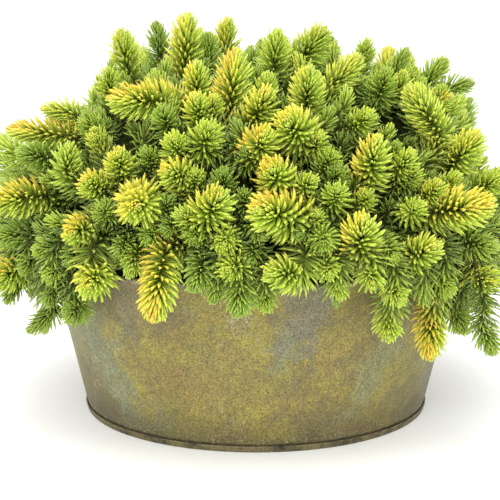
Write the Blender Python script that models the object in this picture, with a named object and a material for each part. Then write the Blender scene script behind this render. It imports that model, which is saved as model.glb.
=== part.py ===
"""Golden stonecrop mounded in an aged round metal tub, modelled for Blender 4.5.

The origin is the centre of the tub's flat underside, +Z is up and -Y is the side that is looked at.
Each bunch of leafy shoots is one solid. Its stem stands in its own hole in the soil.
"""

import math
from typing import NamedTuple

import bmesh
import bpy
import numpy as np
from mathutils import Vector

# Tub, in metres
TUB_HEIGHT = 0.120
RIM_RADIUS = 0.1525
FOOT_RADIUS = 0.1225
SHEET = 0.0012
RIM_WIRE_RADIUS = 0.0026
FOOT_BAND_HEIGHT = 0.0046
FIT_GAP = 0.0003
ROUND_STEPS = 36
RIM_WIRE_STEPS = 6

# Soil and the holes that the stems stand in
SOIL_BELOW_RIM = 0.015
HOLE_DEPTH = 0.012
HOLE_RADIUS = 0.0026
HOLE_SIDES = 5
HOLES_REACH = 0.117

# Mound that the middles of the shoot heads lie on, measured from the centre of the rim
MOUND_REACH = 0.190
MOUND_RISE = 0.146
MOUND_SKIRT = 0.055
MOUND_SQUARENESS = 2.4

# Place that the front shoots are judged from
VIEW_DISTANCE = 1.26
VIEW_TILT = math.radians(11.9)
VIEW_ASIDE = -0.0042
VIEW_TARGET_HEIGHT = 0.1117
VIEW_STEP = 0.001
# Upper edge of the plant as the viewer sees it, in millimetres across and up from the middle of the rim
UPPER_EDGE = (
    (-200, -155, -148, -122, -106, -53, -8, 50, 110, 138, 155, 163, 180, 200),
    (80, 88, 98, 98, 145, 160, 147, 153, 139, 131, 116, 77, 52, 20),
)
SINKING = (1.0, 0.95, 0.90, 0.86)

# Bunches: each core is a leafy wedge of the mound that narrows to a stem in the soil
BUNCHES = 31
BUNCH_ROUNDS = 8
EVEN_PLACES = 24
BUNCH_REACH = 0.160
BUNCH_RISE = 0.118
BUNCH_LIFT = 0.004
BUNCH_SPREAD = math.radians(83)
CORE_SIDES = 6
CORE_MOST_RADIUS = 0.034
CORE_DOWN_REACH = 0.050
CORE_GAP = 0.0012
CORE_CROWN = 0.004
CORE_EDGE_DROP = 0.008
CORE_WAIST = 0.55
RELIEF_HEIGHT = 0.010
RELIEF_LEAST = 0.006
RELIEF_CLEARANCE = 0.009
NEIGHBOUR_REACH = 0.12
STEM_RADIUS = 0.0017
STEM_ABOVE_SOIL = 0.004
RIM_ARCH = 0.030
RIM_CLEARANCE = 0.010

# Shoots and the ways that their stems go
NEAR_BUNCHES = 5
ROOT_DEPTH = 0.012
ROOT_SPREAD = 0.35
STEM_STEPS = 24
HEAD_STEPS = 12
LEAST_OUTWARD = 0.12
USUAL_WIDTH = 28
NATURAL_LENGTH = 0.030
NATURAL_SIZES = (0.72, 1.12)
NATURAL_LEAN = 0.30
NATURAL_LIFT = 0.35
NATURAL_DROOP = -0.25
TIP_BACK = 0.007
BARE_FRONT_REACH = 0.110
BARE_FRONT_HEIGHT = 0.112
# Ways to lead a stem to its head: how far it keeps the head's line, then how far the head is
# lifted and moved aside
STEM_WAYS = (
    (0.6, 0.000, 0.000),
    (0.2, 0.000, 0.000),
    (0.2, 0.004, 0.000),
    (0.0, 0.008, 0.000),
    (0.3, 0.004, 0.007),
    (0.3, 0.004, -0.007),
    (0.0, 0.012, 0.000),
    (0.0, 0.010, 0.012),
    (0.0, 0.010, -0.012),
)
SHOOT_SIDES = 3
SHOOT_RADIUS = 0.0017
SHOOT_TIP_RADIUS = 0.0011
SHOOTS_AROUND = 140
SHOOTS_SPREAD = math.radians(104)
SHOOT_SPACING = 0.042
GOLDEN_ANGLE = math.pi * (3 - math.sqrt(5))
SEED = 7

# Leaves: their lean from the shoot's line in degrees and their share of the full length, at
# distances from the shoot's tip in metres
LEAF_LENGTH = 0.0155
LEAF_LEANS = ((0, 0.006, 0.014, 0.026, 0.045), (20, 40, 60, 74, 84))
LEAF_SHARES = ((0, 0.006, 0.014, 0.040), (0.62, 0.85, 1.0, 0.95))
LEAF_SIZES = (0.92, 1.06)
LEAF_LEAN_DRAW = 0.07
LEAF_STEPS = 9
LEAST_LEAF = 0.45
LEAF_SHRINK = 0.85
CLEAR_GAP = 0.0006
TUB_CLEARANCE = 0.003

# Bands of a shoot from its tip down: height in metres, and how many of its faces carry a leaf
FIRST_BAND_AT = 0.0015
TIP_BANDS = ((0.0036, 3), (0.0046, 6), (0.0056, 6))
LOWER_BAND = (0.0068, 3)
MOST_BANDS = 7

SOIL_TOP = TUB_HEIGHT - SOIL_BELOW_RIM
RIM_CENTRE = Vector((0, 0, TUB_HEIGHT))
UP = Vector((0, 0, 1))


class FrontShoot(NamedTuple):
    """A shoot head of the front, in millimetres and degrees as it is seen.

    across and rise run from the middle of the rim. heading is the way that the tip points, from the
    right anticlockwise. lay is 0 for a head that faces the viewer and 1 for one seen from its side.
    """

    across: float
    rise: float
    heading: float
    lay: float
    length: float
    width: float


FRONT_SHOOTS = (
    FrontShoot(-95, 137, 100, 0.90, 34, 25),
    FrontShoot(-70, 146, 97, 0.95, 34, 20),
    FrontShoot(-50, 148, 88, 0.95, 40, 30),
    FrontShoot(-21, 151, 85, 0.80, 22, 24),
    FrontShoot(-16, 117, 84, 0.95, 40, 28),
    FrontShoot(-43, 117, 92, 0.75, 28, 23),
    FrontShoot(-87, 99, 180, 0.85, 42, 30),
    FrontShoot(-106, 116, 95, 0.60, 24, 20),
    FrontShoot(-145, 92, 172, 0.90, 26, 18),
    FrontShoot(-159, 81, 175, 0.95, 44, 22),
    FrontShoot(-135, 59, 80, 0.70, 26, 26),
    FrontShoot(-98, 58, 90, 0.40, 24, 23),
    FrontShoot(-119, 40, 150, 0.30, 24, 24),
    FrontShoot(-58, 68, 100, 0.30, 24, 23),
    FrontShoot(-60, 47, 160, 0.40, 26, 26),
    FrontShoot(-34, 75, 60, 0.50, 26, 28),
    FrontShoot(-84, 24, 270, 0.10, 28, 38),
    FrontShoot(-129, 5, 200, 0.30, 26, 28),
    FrontShoot(-110, 21, 120, 0.20, 22, 20),
    FrontShoot(-173, 28, 190, 0.80, 42, 30),
    FrontShoot(-30, 23, 55, 0.55, 36, 34),
    FrontShoot(-53, 17, 150, 0.50, 22, 19),
    FrontShoot(-22, -3, 260, 0.15, 24, 22),
    FrontShoot(-42, 96, 100, 0.50, 26, 24),
    FrontShoot(-66, 88, 110, 0.50, 26, 22),
    FrontShoot(-161, 60, 170, 0.60, 28, 26),
    FrontShoot(-177, 2, 190, 0.70, 28, 24),
    FrontShoot(14, 146, 88, 0.85, 30, 26),
    FrontShoot(41, 144, 50, 0.80, 36, 32),
    FrontShoot(79, 137, 80, 0.70, 22, 20),
    FrontShoot(105, 129, 62, 0.90, 26, 18),
    FrontShoot(66, 121, 45, 0.90, 32, 24),
    FrontShoot(130, 121, 50, 0.90, 28, 24),
    FrontShoot(149, 110, 12, 0.90, 24, 20),
    FrontShoot(37, 110, 88, 0.70, 34, 26),
    FrontShoot(6, 99, 60, 0.60, 28, 26),
    FrontShoot(26, 80, 140, 0.40, 32, 36),
    FrontShoot(92, 115, 80, 0.60, 24, 24),
    FrontShoot(120, 93, 125, 0.90, 46, 26),
    FrontShoot(152, 65, 50, 0.70, 32, 32),
    FrontShoot(79, 87, 45, 0.30, 22, 20),
    FrontShoot(84, 60, 85, 0.60, 36, 28),
    FrontShoot(4, 70, 70, 0.35, 28, 31),
    FrontShoot(13, 46, 130, 0.35, 28, 33),
    FrontShoot(39, 41, 45, 0.40, 22, 18),
    FrontShoot(58, 33, 90, 0.30, 22, 22),
    FrontShoot(109, 57, 50, 0.50, 24, 22),
    FrontShoot(130, 37, 60, 0.40, 22, 18),
    FrontShoot(171, 40, 20, 0.60, 28, 24),
    FrontShoot(14, 18, 165, 0.60, 44, 37),
    FrontShoot(114, 22, 80, 0.20, 22, 22),
    FrontShoot(148, 21, 10, 0.80, 50, 34),
    FrontShoot(79, 7, 92, 0.55, 32, 32),
    FrontShoot(48, -2, 270, 0.15, 22, 24),
    FrontShoot(121, -9, 30, 0.50, 32, 30),
    FrontShoot(163, -5, 350, 0.60, 28, 26),
    FrontShoot(-178, -26, 210, 0.60, 34, 29),
    FrontShoot(-147, -26, 230, 0.30, 22, 20),
    FrontShoot(-117, -30, 250, 0.30, 30, 34),
    FrontShoot(-130, -54, 250, 0.40, 26, 24),
    FrontShoot(-155, -60, 220, 0.90, 30, 18),
    FrontShoot(-70, -37, 262, 0.90, 46, 30),
    FrontShoot(-42, -29, 250, 0.70, 28, 24),
    FrontShoot(-12, -44, 268, 0.80, 30, 26),
    FrontShoot(-17, -21, 200, 0.30, 26, 27),
    FrontShoot(19, -25, 175, 0.60, 36, 28),
    FrontShoot(52, -23, 280, 0.30, 24, 20),
    FrontShoot(83, -29, 270, 0.30, 24, 25),
    FrontShoot(102, -41, 300, 0.40, 24, 22),
    FrontShoot(95, -65, 268, 0.60, 24, 26),
    FrontShoot(125, -71, 268, 0.90, 36, 26),
    FrontShoot(164, -30, 340, 0.50, 30, 28),
    FrontShoot(143, -59, 285, 0.70, 28, 24),
    FrontShoot(167, -74, 290, 0.80, 28, 22),
)


class Shoot(NamedTuple):
    """A leafy shoot: the middle of its head, the way it points, and its leafy length and leaf scale."""

    centre: Vector
    direction: Vector
    length: float
    scale: float


class Bunch(NamedTuple):
    """A bunch: the middle of its core's top, the way out there, its foot, and the planes that bound it."""

    middle: Vector
    outward: Vector
    foot: Vector
    normals: np.ndarray
    offsets: np.ndarray


def clear_scene():
    """Removes every object that the scene starts with."""
    for found in list(bpy.data.objects):
        bpy.data.objects.remove(found, do_unlink=True)


def material(name, colour, roughness, metallic=0.0):
    """A Principled BSDF material of one colour."""
    made = bpy.data.materials.new(name)
    made.use_nodes = True
    shader = made.node_tree.nodes["Principled BSDF"]
    shader.inputs["Base Color"].default_value = (*colour, 1.0)
    shader.inputs["Roughness"].default_value = roughness
    shader.inputs["Metallic"].default_value = metallic
    return made


def linked(name, mesh, finish):
    """A new object in the scene, with one material."""
    mesh.materials.clear()
    mesh.materials.append(finish)
    made = bpy.data.objects.new(name, mesh)
    bpy.context.scene.collection.objects.link(made)
    return made


def mesh_of(bm, name):
    """Turns a bmesh into a mesh whose faces point out."""
    bmesh.ops.triangulate(bm, faces=bm.faces[:])
    bmesh.ops.recalc_face_normals(bm, faces=bm.faces[:])
    mesh = bpy.data.meshes.new(name)
    bm.to_mesh(mesh)
    bm.free()
    return mesh


def turned(name, outline):
    """A closed solid of revolution. outline runs round the section as (radius, height) pairs."""
    bm = bmesh.new()
    rings = []
    for radius, height in outline:
        if radius == 0:
            rings.append([bm.verts.new((0, 0, height))] * ROUND_STEPS)
            continue
        angles = (2 * math.pi * step / ROUND_STEPS for step in range(ROUND_STEPS))
        rings.append([bm.verts.new((radius * math.cos(a), radius * math.sin(a), height)) for a in angles])
    count = len(rings)
    closed_round = outline[0][0] != 0
    for index in range(count if closed_round else count - 1):
        one, two = rings[index], rings[(index + 1) % count]
        for step in range(ROUND_STEPS):
            after = (step + 1) % ROUND_STEPS
            corners = dict.fromkeys((one[step], one[after], two[after], two[step]))
            bm.faces.new(list(corners))
    return mesh_of(bm, name)


def wall_radius(height):
    """The outer radius of the tub's wall at a height."""
    foot = FOOT_RADIUS - SHEET - FIT_GAP
    rim = RIM_RADIUS - RIM_WIRE_RADIUS
    return foot + (rim - foot) * height / TUB_HEIGHT


def tub_wall_outline():
    """The wall's section: up the outside, round the rolled rim, and down the inside."""
    low = SHEET + FIT_GAP
    neck = TUB_HEIGHT - 2 * RIM_WIRE_RADIUS
    bead_radius = RIM_RADIUS - RIM_WIRE_RADIUS
    bead_height = TUB_HEIGHT - RIM_WIRE_RADIUS
    outline = [(wall_radius(low), low), (wall_radius(neck * 0.5), neck * 0.5)]
    first, last = math.radians(-90), math.radians(205)
    for step in range(RIM_WIRE_STEPS + 1):
        angle = first + (last - first) * step / RIM_WIRE_STEPS
        across = bead_radius + RIM_WIRE_RADIUS * math.cos(angle)
        outline.append((across, bead_height + RIM_WIRE_RADIUS * math.sin(angle)))
    outline.append((wall_radius(neck * 0.5) - SHEET, neck * 0.5))
    outline.append((wall_radius(low) - SHEET, low))
    return outline


def tub_base_outline():
    """The base's section: a flat disc whose edge is turned up round the foot of the wall."""
    bend = 0.0006
    top = FOOT_BAND_HEIGHT
    inner_low = wall_radius(SHEET) + FIT_GAP
    inner_high = wall_radius(top) + FIT_GAP
    return [
        (0, 0),
        (FOOT_RADIUS - bend, 0),
        (FOOT_RADIUS, bend),
        (inner_high + SHEET * 0.8, top - bend),
        (inner_high + SHEET * 0.4, top),
        (inner_high, top - bend * 0.5),
        (inner_low, SHEET),
        (0, SHEET),
    ]


def soil_outline():
    """The soil's section: it fills the tub to a little below the rim."""
    low = SHEET + FIT_GAP
    clearance = SHEET + FIT_GAP
    return [
        (0, low),
        (wall_radius(low) - clearance, low),
        (wall_radius(SOIL_TOP) - clearance, SOIL_TOP),
        (0, SOIL_TOP),
    ]


def prism(bm, foot, height, radius, sides):
    """Adds a closed upright prism, for cutting a stem hole."""
    angles = [2 * math.pi * side / sides for side in range(sides)]
    low = [bm.verts.new(foot + Vector((radius * math.cos(a), radius * math.sin(a), 0))) for a in angles]
    high = [bm.verts.new(corner.co + UP * height) for corner in low]
    bm.faces.new(low[::-1])
    bm.faces.new(high)
    for side in range(sides):
        after = (side + 1) % sides
        bm.faces.new((low[side], low[after], high[after], high[side]))


def make_soil(bunches, finish):
    """The soil with one plain hole for each bunch's stem."""
    soil = linked("soil", turned("soil", soil_outline()), finish)
    bm = bmesh.new()
    for bunch in bunches:
        foot = Vector((bunch.foot.x, bunch.foot.y, SOIL_TOP - HOLE_DEPTH))
        prism(bm, foot, HOLE_DEPTH * 1.5, HOLE_RADIUS, HOLE_SIDES)
    cutter = linked("soil_holes", mesh_of(bm, "soil_holes"), finish)
    cutter.hide_render = True
    cutter.display_type = "WIRE"
    cut = soil.modifiers.new("stem_holes", "BOOLEAN")
    cut.operation = "DIFFERENCE"
    cut.object = cutter
    bake_modifiers(soil)
    bpy.data.objects.remove(cutter, do_unlink=True)
    return soil


def bake_modifiers(target):
    """Replaces an object's mesh by its evaluated one and removes its modifiers."""
    bpy.context.view_layer.update()
    graph = bpy.context.evaluated_depsgraph_get()
    baked = bpy.data.meshes.new_from_object(target.evaluated_get(graph))
    target.modifiers.clear()
    target.data = baked


def mound_level(point):
    """How far out a point lies on the mound: 1 on its surface, less inside."""
    height = point[2] - TUB_HEIGHT
    rise = MOUND_RISE if height > 0 else MOUND_SKIRT
    out = math.hypot(point[0], point[1]) / MOUND_REACH
    return out**MOUND_SQUARENESS + (abs(height) / rise) ** MOUND_SQUARENESS


def mound_point(azimuth, polar):
    """The point of the mound's surface in a direction from the middle of the rim."""
    flat = math.sin(polar)
    aim = Vector((flat * math.cos(azimuth), flat * math.sin(azimuth), math.cos(polar)))
    return RIM_CENTRE + aim * mound_level(RIM_CENTRE + aim) ** (-1 / MOUND_SQUARENESS)


def mound_normal(point):
    """The way out of the mound at a point."""
    step = 0.0005
    here = mound_level(point)
    slopes = [mound_level(point + Vector(axis) * step) - here for axis in ((1, 0, 0), (0, 1, 0), (0, 0, 1))]
    return Vector(slopes).normalized()


def view_axes():
    """The viewer's eye, right, up and forward directions."""
    forward = Vector((0, math.cos(VIEW_TILT), -math.sin(VIEW_TILT)))
    upward = Vector((0, math.sin(VIEW_TILT), math.cos(VIEW_TILT)))
    eye = Vector((VIEW_ASIDE, 0, VIEW_TARGET_HEIGHT)) - forward * VIEW_DISTANCE
    return eye, Vector((1, 0, 0)), upward, forward


def seen_point(across, rise):
    """The place on the mound that is seen at a point of the view, or the nearest one beside it."""
    eye, right, upward, forward = view_axes()
    ray = (RIM_CENTRE + right * across + upward * rise - eye).normalized()
    best, best_level = None, math.inf
    nearest = VIEW_DISTANCE - MOUND_REACH * 1.1
    for step in range(int(MOUND_REACH * 2 / VIEW_STEP)):
        point = eye + ray * (nearest + step * VIEW_STEP)
        level = mound_level(point)
        if level < best_level:
            best, best_level = point, level
        if level <= 1:
            break
    return best


def seen_at(point):
    """Where the viewer sees a point, in metres across and up from the middle of the rim."""
    eye, right, upward, forward = view_axes()
    middle, gap = RIM_CENTRE - eye, point - eye
    nearer = middle.dot(forward) / gap.dot(forward)
    return gap.dot(right) * nearer - middle.dot(right), gap.dot(upward) * nearer - middle.dot(upward)


def clear_of_rim(centre, direction, length):
    """Moves a head that hangs below the rim outward until its root clears the tub."""
    root = centre - direction * length * 0.5
    out = math.hypot(root.x, root.y)
    short = RIM_RADIUS + RIM_CLEARANCE - out
    if root.z < TUB_HEIGHT + RIM_CLEARANCE and short > 0:
        centre = centre + Vector((root.x, root.y, 0)) * short / out
    return centre


def front_shoot(entry):
    """Places one front shoot on the mound."""
    _, right, upward, forward = view_axes()
    centre = seen_point(entry.across / 1000, entry.rise / 1000)
    heading = math.radians(entry.heading)
    flat = right * math.cos(heading) + upward * math.sin(heading)
    direction = flat * entry.lay - forward * math.sqrt(1 - entry.lay**2)
    outward = mound_normal(centre)
    if direction.dot(outward) < LEAST_OUTWARD:
        direction += outward * (LEAST_OUTWARD - direction.dot(outward))
    direction.normalize()
    length = entry.length / 1000
    return Shoot(clear_of_rim(centre, direction, length), direction, length, entry.width / USUAL_WIDTH)


def natural_shoot(azimuth, polar, draw):
    """A shoot that grows out of the mound where nothing calls for a particular one."""
    centre = mound_point(azimuth, polar)
    outward = mound_normal(centre)
    lean = Vector(draw.normal(0, NATURAL_LEAN, 3))
    lift = NATURAL_LIFT if centre.z > TUB_HEIGHT else NATURAL_DROOP
    direction = (outward + lean + UP * lift).normalized()
    size = draw.uniform(*NATURAL_SIZES)
    length = NATURAL_LENGTH * size
    return Shoot(clear_of_rim(centre, direction, length), direction, length, size)


def under_edge(shoot):
    """A shoot sunk into the mound until it is seen below the plant's upper edge, and whether it is."""
    for share in SINKING:
        sunk = shoot._replace(centre=RIM_CENTRE + (shoot.centre - RIM_CENTRE) * share)
        across, rise = seen_at(sunk.centre + sunk.direction * sunk.length * 0.5)
        if rise * 1000 <= np.interp(across * 1000, *UPPER_EDGE):
            return sunk, True
    return sunk, False


def hides_tub(centre):
    """Whether a place lies before the part of the tub that is seen bare."""
    return centre.y < 0 and abs(centre.x) < BARE_FRONT_REACH and centre.z < BARE_FRONT_HEIGHT


def place_shoots():
    """All the shoots: the front ones by hand and the rest on a golden-angle lattice."""
    draw = np.random.default_rng(SEED)
    shoots = [front_shoot(entry) for entry in FRONT_SHOOTS]
    for azimuth, polar in lattice(SHOOTS_AROUND, SHOOTS_SPREAD):
        shoot, hidden = under_edge(natural_shoot(azimuth, polar, draw))
        roomy = all((shoot.centre - other.centre).length > SHOOT_SPACING for other in shoots)
        if roomy and hidden and not hides_tub(shoot.centre):
            shoots.append(shoot)
    return shoots


def dome_middle(place):
    """The point of the cores' common dome that lies on the line from the middle of the rim to a place."""
    aim = place - RIM_CENTRE
    out = math.hypot(aim.x, aim.y)
    aim.z = max(aim.z, out / math.tan(BUNCH_SPREAD))
    level = (out / BUNCH_REACH) ** MOUND_SQUARENESS + (aim.z / BUNCH_RISE) ** MOUND_SQUARENESS
    return RIM_CENTRE + aim * level ** (-1 / MOUND_SQUARENESS) + UP * BUNCH_LIFT


def lattice(count, spread):
    """Evenly spread directions within an angle of straight up, as azimuth and polar angles."""
    shares = [(index + 0.5) / count for index in range(count)]
    return [(i * GOLDEN_ANGLE, math.acos(1 - s * (1 - math.cos(spread)))) for i, s in enumerate(shares)]


def bunch_middles(shoots):
    """The middles of the bunches: a lattice whose points then move to the middle of their nearest shoots.

    A few evenly spread places count as shoots too, so that no part of the dome is left without a bunch.
    """
    wanted = [dome_middle(shoot.centre - shoot.direction * shoot.length * 0.5) for shoot in shoots]
    wanted += [dome_middle(mound_point(*direction)) for direction in lattice(EVEN_PLACES, BUNCH_SPREAD)]
    middles = [dome_middle(mound_point(*direction)) for direction in lattice(BUNCHES, BUNCH_SPREAD)]
    for _ in range(BUNCH_ROUNDS):
        groups = [[] for _ in middles]
        for place in wanted:
            reach = [(middle - place).length for middle in middles]
            groups[reach.index(min(reach))].append(place)
        middles = [dome_middle(sum(group, Vector()) / len(group)) for group in groups if group]
    return middles


def collar_of(foot):
    """The point just above the soil where a bunch's stem leaves it."""
    return Vector((foot.x, foot.y, SOIL_TOP + STEM_ABOVE_SOIL))


def parting_planes(index, places):
    """The planes that part one bunch from its neighbours and from the rim. Its own side is the lower one."""
    middle, foot = places[index]
    normals, offsets = [], []
    for other, (far_middle, far_foot) in enumerate(places):
        if other == index or (far_middle - middle).length > NEIGHBOUR_REACH:
            continue
        high = (middle + far_middle) / 2
        line = (high - (foot + far_foot) / 2).normalized()
        normal = far_middle - middle
        normal = (normal - line * normal.dot(line)).normalized()
        normals.append(tuple(normal))
        offsets.append(normal.dot(high) - CORE_GAP / 2)
    around = Vector((middle.x, middle.y, 0)).normalized()
    edge = around * RIM_RADIUS + UP * (TUB_HEIGHT + RIM_CLEARANCE * 0.6)
    normal = UP.cross(around).cross(edge - collar_of(foot)).normalized()
    normal = -normal if normal.z > 0 else normal
    return np.array(normals + [tuple(normal)]), np.array(offsets + [normal.dot(edge)])


def place_bunches(shoots):
    """The bunches' cores over the soil and their feet in it."""
    places = []
    for middle in bunch_middles(shoots):
        aim = middle - RIM_CENTRE
        share = (1 - aim.z / aim.length) / (1 - math.cos(BUNCH_SPREAD))
        around = Vector((aim.x, aim.y, 0)).normalized()
        foot = around * HOLES_REACH * math.sqrt(min(share, 1)) + UP * (SOIL_TOP - HOLE_DEPTH + FIT_GAP)
        places.append((middle, foot))
    bunches = []
    for index, (middle, foot) in enumerate(places):
        bunches.append(Bunch(middle, mound_normal(middle), foot, *parting_planes(index, places)))
    return bunches


def inside_bunch(points, bunch, margin=0.0):
    """Whether each point lies within a bunch's own planes."""
    return (points @ bunch.normals.T + margin <= bunch.offsets).all(axis=1)


def above_dome(points, lift):
    """Whether each point lies outside the cores' common dome, raised by a lift, or hangs below the rim."""
    out = np.hypot(points[:, 0], points[:, 1]) / (BUNCH_REACH + lift)
    height = np.maximum(points[:, 2] - TUB_HEIGHT - BUNCH_LIFT, 0) / (BUNCH_RISE + lift)
    outside = out**MOUND_SQUARENESS + height**MOUND_SQUARENESS > 1
    past_rim = np.hypot(points[:, 0], points[:, 1]) - RIM_RADIUS
    return outside | (points[:, 2] < TUB_HEIGHT + past_rim * 0.4)


def ring_frames(points):
    """A pair of cross directions at each point of a path, turned as little as can be along it."""
    tangents = []
    for index in range(len(points)):
        before, after = points[max(index - 1, 0)], points[min(index + 1, len(points) - 1)]
        tangents.append((after - before).normalized())
    side = Vector((1, 0, 0)) if abs(tangents[0].x) < 0.9 else Vector((0, 1, 0))
    frames = []
    for tangent in tangents:
        side = (side - tangent * side.dot(tangent)).normalized()
        frames.append((side, tangent.cross(side), tangent))
    return frames


def band_faces(bm, low, high):
    """Joins two rings that are half a step apart. Returns the faces on the low ring, then the rest."""
    sides = len(low)
    standing, hanging = [], []
    for side in range(sides):
        after = (side + 1) % sides
        standing.append(bm.faces.new((low[side], low[after], high[side])))
        hanging.append(bm.faces.new((low[after], high[after], high[side])))
    return standing, hanging


def ring_round(centre, side, cross, reaches, turn):
    """Points round a centre, one for each reach."""
    angles = [2 * math.pi * (index + turn) / len(reaches) for index in range(len(reaches))]
    return [centre + (side * math.cos(a) + cross * math.sin(a)) * r for a, r in zip(angles, reaches)]


def core_reaches(bunch, start, side, cross, turn):
    """How far the core's edge can go in each direction before it meets a plane."""
    reaches = []
    for point in ring_round(Vector(), side, cross, [1.0] * CORE_SIDES, turn):
        towards = bunch.normals @ np.array(point)
        left = bunch.offsets - bunch.normals @ np.array(start)
        limits = left[towards > 0.05] / towards[towards > 0.05]
        most = CORE_MOST_RADIUS + (CORE_DOWN_REACH - CORE_MOST_RADIUS) * max(-point.z, 0)
        reaches.append(max(0.003, limits.min(initial=most)))
    return reaches


def core_mesh(bunch, paths):
    """The bunch's core, whose top faces are raised into short leaf points between its shoots."""
    outward = bunch.outward
    side = outward.cross(UP if abs(outward.z) < 0.9 else Vector((0, 1, 0))).normalized()
    cross = outward.cross(side)
    low_middle = bunch.middle - outward * CORE_EDGE_DROP
    collar = collar_of(bunch.foot)
    edge = ring_round(low_middle, side, cross, core_reaches(bunch, low_middle, side, cross, 0), 0)
    half = [reach * 0.5 for reach in core_reaches(bunch, bunch.middle, side, cross, 0.5)]
    inner = ring_round(bunch.middle, side, cross, half, 0.5)
    waist = [collar.lerp(point, CORE_WAIST) for point in edge]
    stem = ring_round(collar, side, cross, [STEM_RADIUS] * CORE_SIDES, 0.5)
    for point in stem:
        point.z = collar.z
    foot = [Vector((point.x, point.y, bunch.foot.z)) for point in stem]
    bm = bmesh.new()
    loops = [[bm.verts.new(point) for point in ring] for ring in (foot, stem, waist, edge, inner)]
    for low, high in ((loops[0], loops[1]), (loops[2], loops[3])):
        for index in range(CORE_SIDES):
            after = (index + 1) % CORE_SIDES
            bm.faces.new((low[index], low[after], high[after], high[index]))
    band_faces(bm, loops[2], loops[1])
    standing, hanging = band_faces(bm, loops[3], loops[4])
    top = bm.verts.new(bunch.middle + outward * CORE_CROWN)
    last = loops[4]
    crown = [bm.faces.new((last[c], last[(c + 1) % CORE_SIDES], top)) for c in range(CORE_SIDES)]
    bm.faces.new(loops[0][::-1])
    bmesh.ops.recalc_face_normals(bm, faces=bm.faces[:])
    stems = [point for path in paths for point in path]
    for face in standing + hanging + crown:
        root = face.calc_center_median()
        height = RELIEF_HEIGHT
        while height > RELIEF_LEAST:
            tip = root + (face.normal + outward * 0.5).normalized() * height
            clear = all(min((p - root).length, (p - tip).length) > RELIEF_CLEARANCE for p in stems)
            place = np.array([tuple(tip)])
            if clear and inside_bunch(place, bunch)[0] and not above_dome(place, RELIEF_HEIGHT)[0]:
                bmesh.ops.poke(bm, faces=[face])["verts"][0].co = tip
                break
            height *= 0.8
    return mesh_of(bm, "core")


def smooth_path(shoot, bunch, ease):
    """Evenly spaced points from inside the bunch's core to the shoot's tip.

    ease is how far the stem keeps the head's own line before it turns down into the core.
    """
    root = shoot.centre - shoot.direction * shoot.length * 0.5
    tip = root + shoot.direction * (shoot.length - TIP_BACK)
    gap = root - bunch.middle
    start = bunch.middle - bunch.outward * ROOT_DEPTH + gap * min(ROOT_SPREAD, CORE_EDGE_DROP / gap.length)
    run = (root - start).length
    if root.z < TUB_HEIGHT + RIM_ARCH * 0.5:
        around = Vector((root.x, root.y, 0)).normalized()
        arch = RIM_ARCH * (1.6 - ease)
        over = around * (RIM_RADIUS + arch) + UP * (TUB_HEIGHT + arch)
        first = start.lerp(over, 0.95)
        second = root + UP * run * 0.3 - shoot.direction * run * 0.1 + around * RIM_ARCH * 0.35
    else:
        first = start + (bunch.outward + gap.normalized()).normalized() * run * 0.35
        bend = (shoot.direction * ease + bunch.outward * (1 - ease)).normalized()
        second = root - bend * run * 0.40
    points = []
    for step in range(STEM_STEPS + 1):
        t = step / STEM_STEPS
        s = 1 - t
        points.append(start * s**3 + first * 3 * s * s * t + second * 3 * s * t * t + root * t**3)
    points += [root + (tip - root) * step / HEAD_STEPS for step in range(1, HEAD_STEPS + 1)]
    return points


def at_distance(points, distance):
    """The point at a distance back from the end of a path."""
    left = distance
    for index in range(len(points) - 1, 0, -1):
        piece = (points[index] - points[index - 1]).length
        if left <= piece:
            return points[index].lerp(points[index - 1], left / piece)
        left -= piece
    return points[0]


def band_plan(shoot, path_length):
    """The shoot's bands from its tip down: distances of their rings, and leaves on each band."""
    bands = list(TIP_BANDS)
    while sum(height for height, _ in bands) + FIRST_BAND_AT < shoot.length and len(bands) < MOST_BANDS:
        bands.append(LOWER_BAND)
    stations, leaves = [FIRST_BAND_AT], []
    for height, count in bands:
        reached = stations[-1] + height * (0.85 + 0.15 * shoot.scale)
        if reached > path_length - 0.004:
            break
        stations.append(reached)
        leaves.append(count)
    stations.append(path_length)
    leaves.append(0)
    return stations, leaves


def leaf_aim(tangent, outward, distance, draw):
    """The way a leaf points: near the axis at the shoot's tip and square to it lower down."""
    angle = math.radians(np.interp(distance, *LEAF_LEANS)) + draw.normal(0, LEAF_LEAN_DRAW)
    return (tangent * math.cos(angle) + outward * math.sin(angle)).normalized()


def leaf_size(distance, shoot, draw):
    """A leaf's length: short round the tip of the shoot and full lower down."""
    share = np.interp(distance, *LEAF_SHARES)
    return LEAF_LENGTH * share * (0.35 + 0.65 * shoot.scale) * draw.uniform(*LEAF_SIZES)


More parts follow.
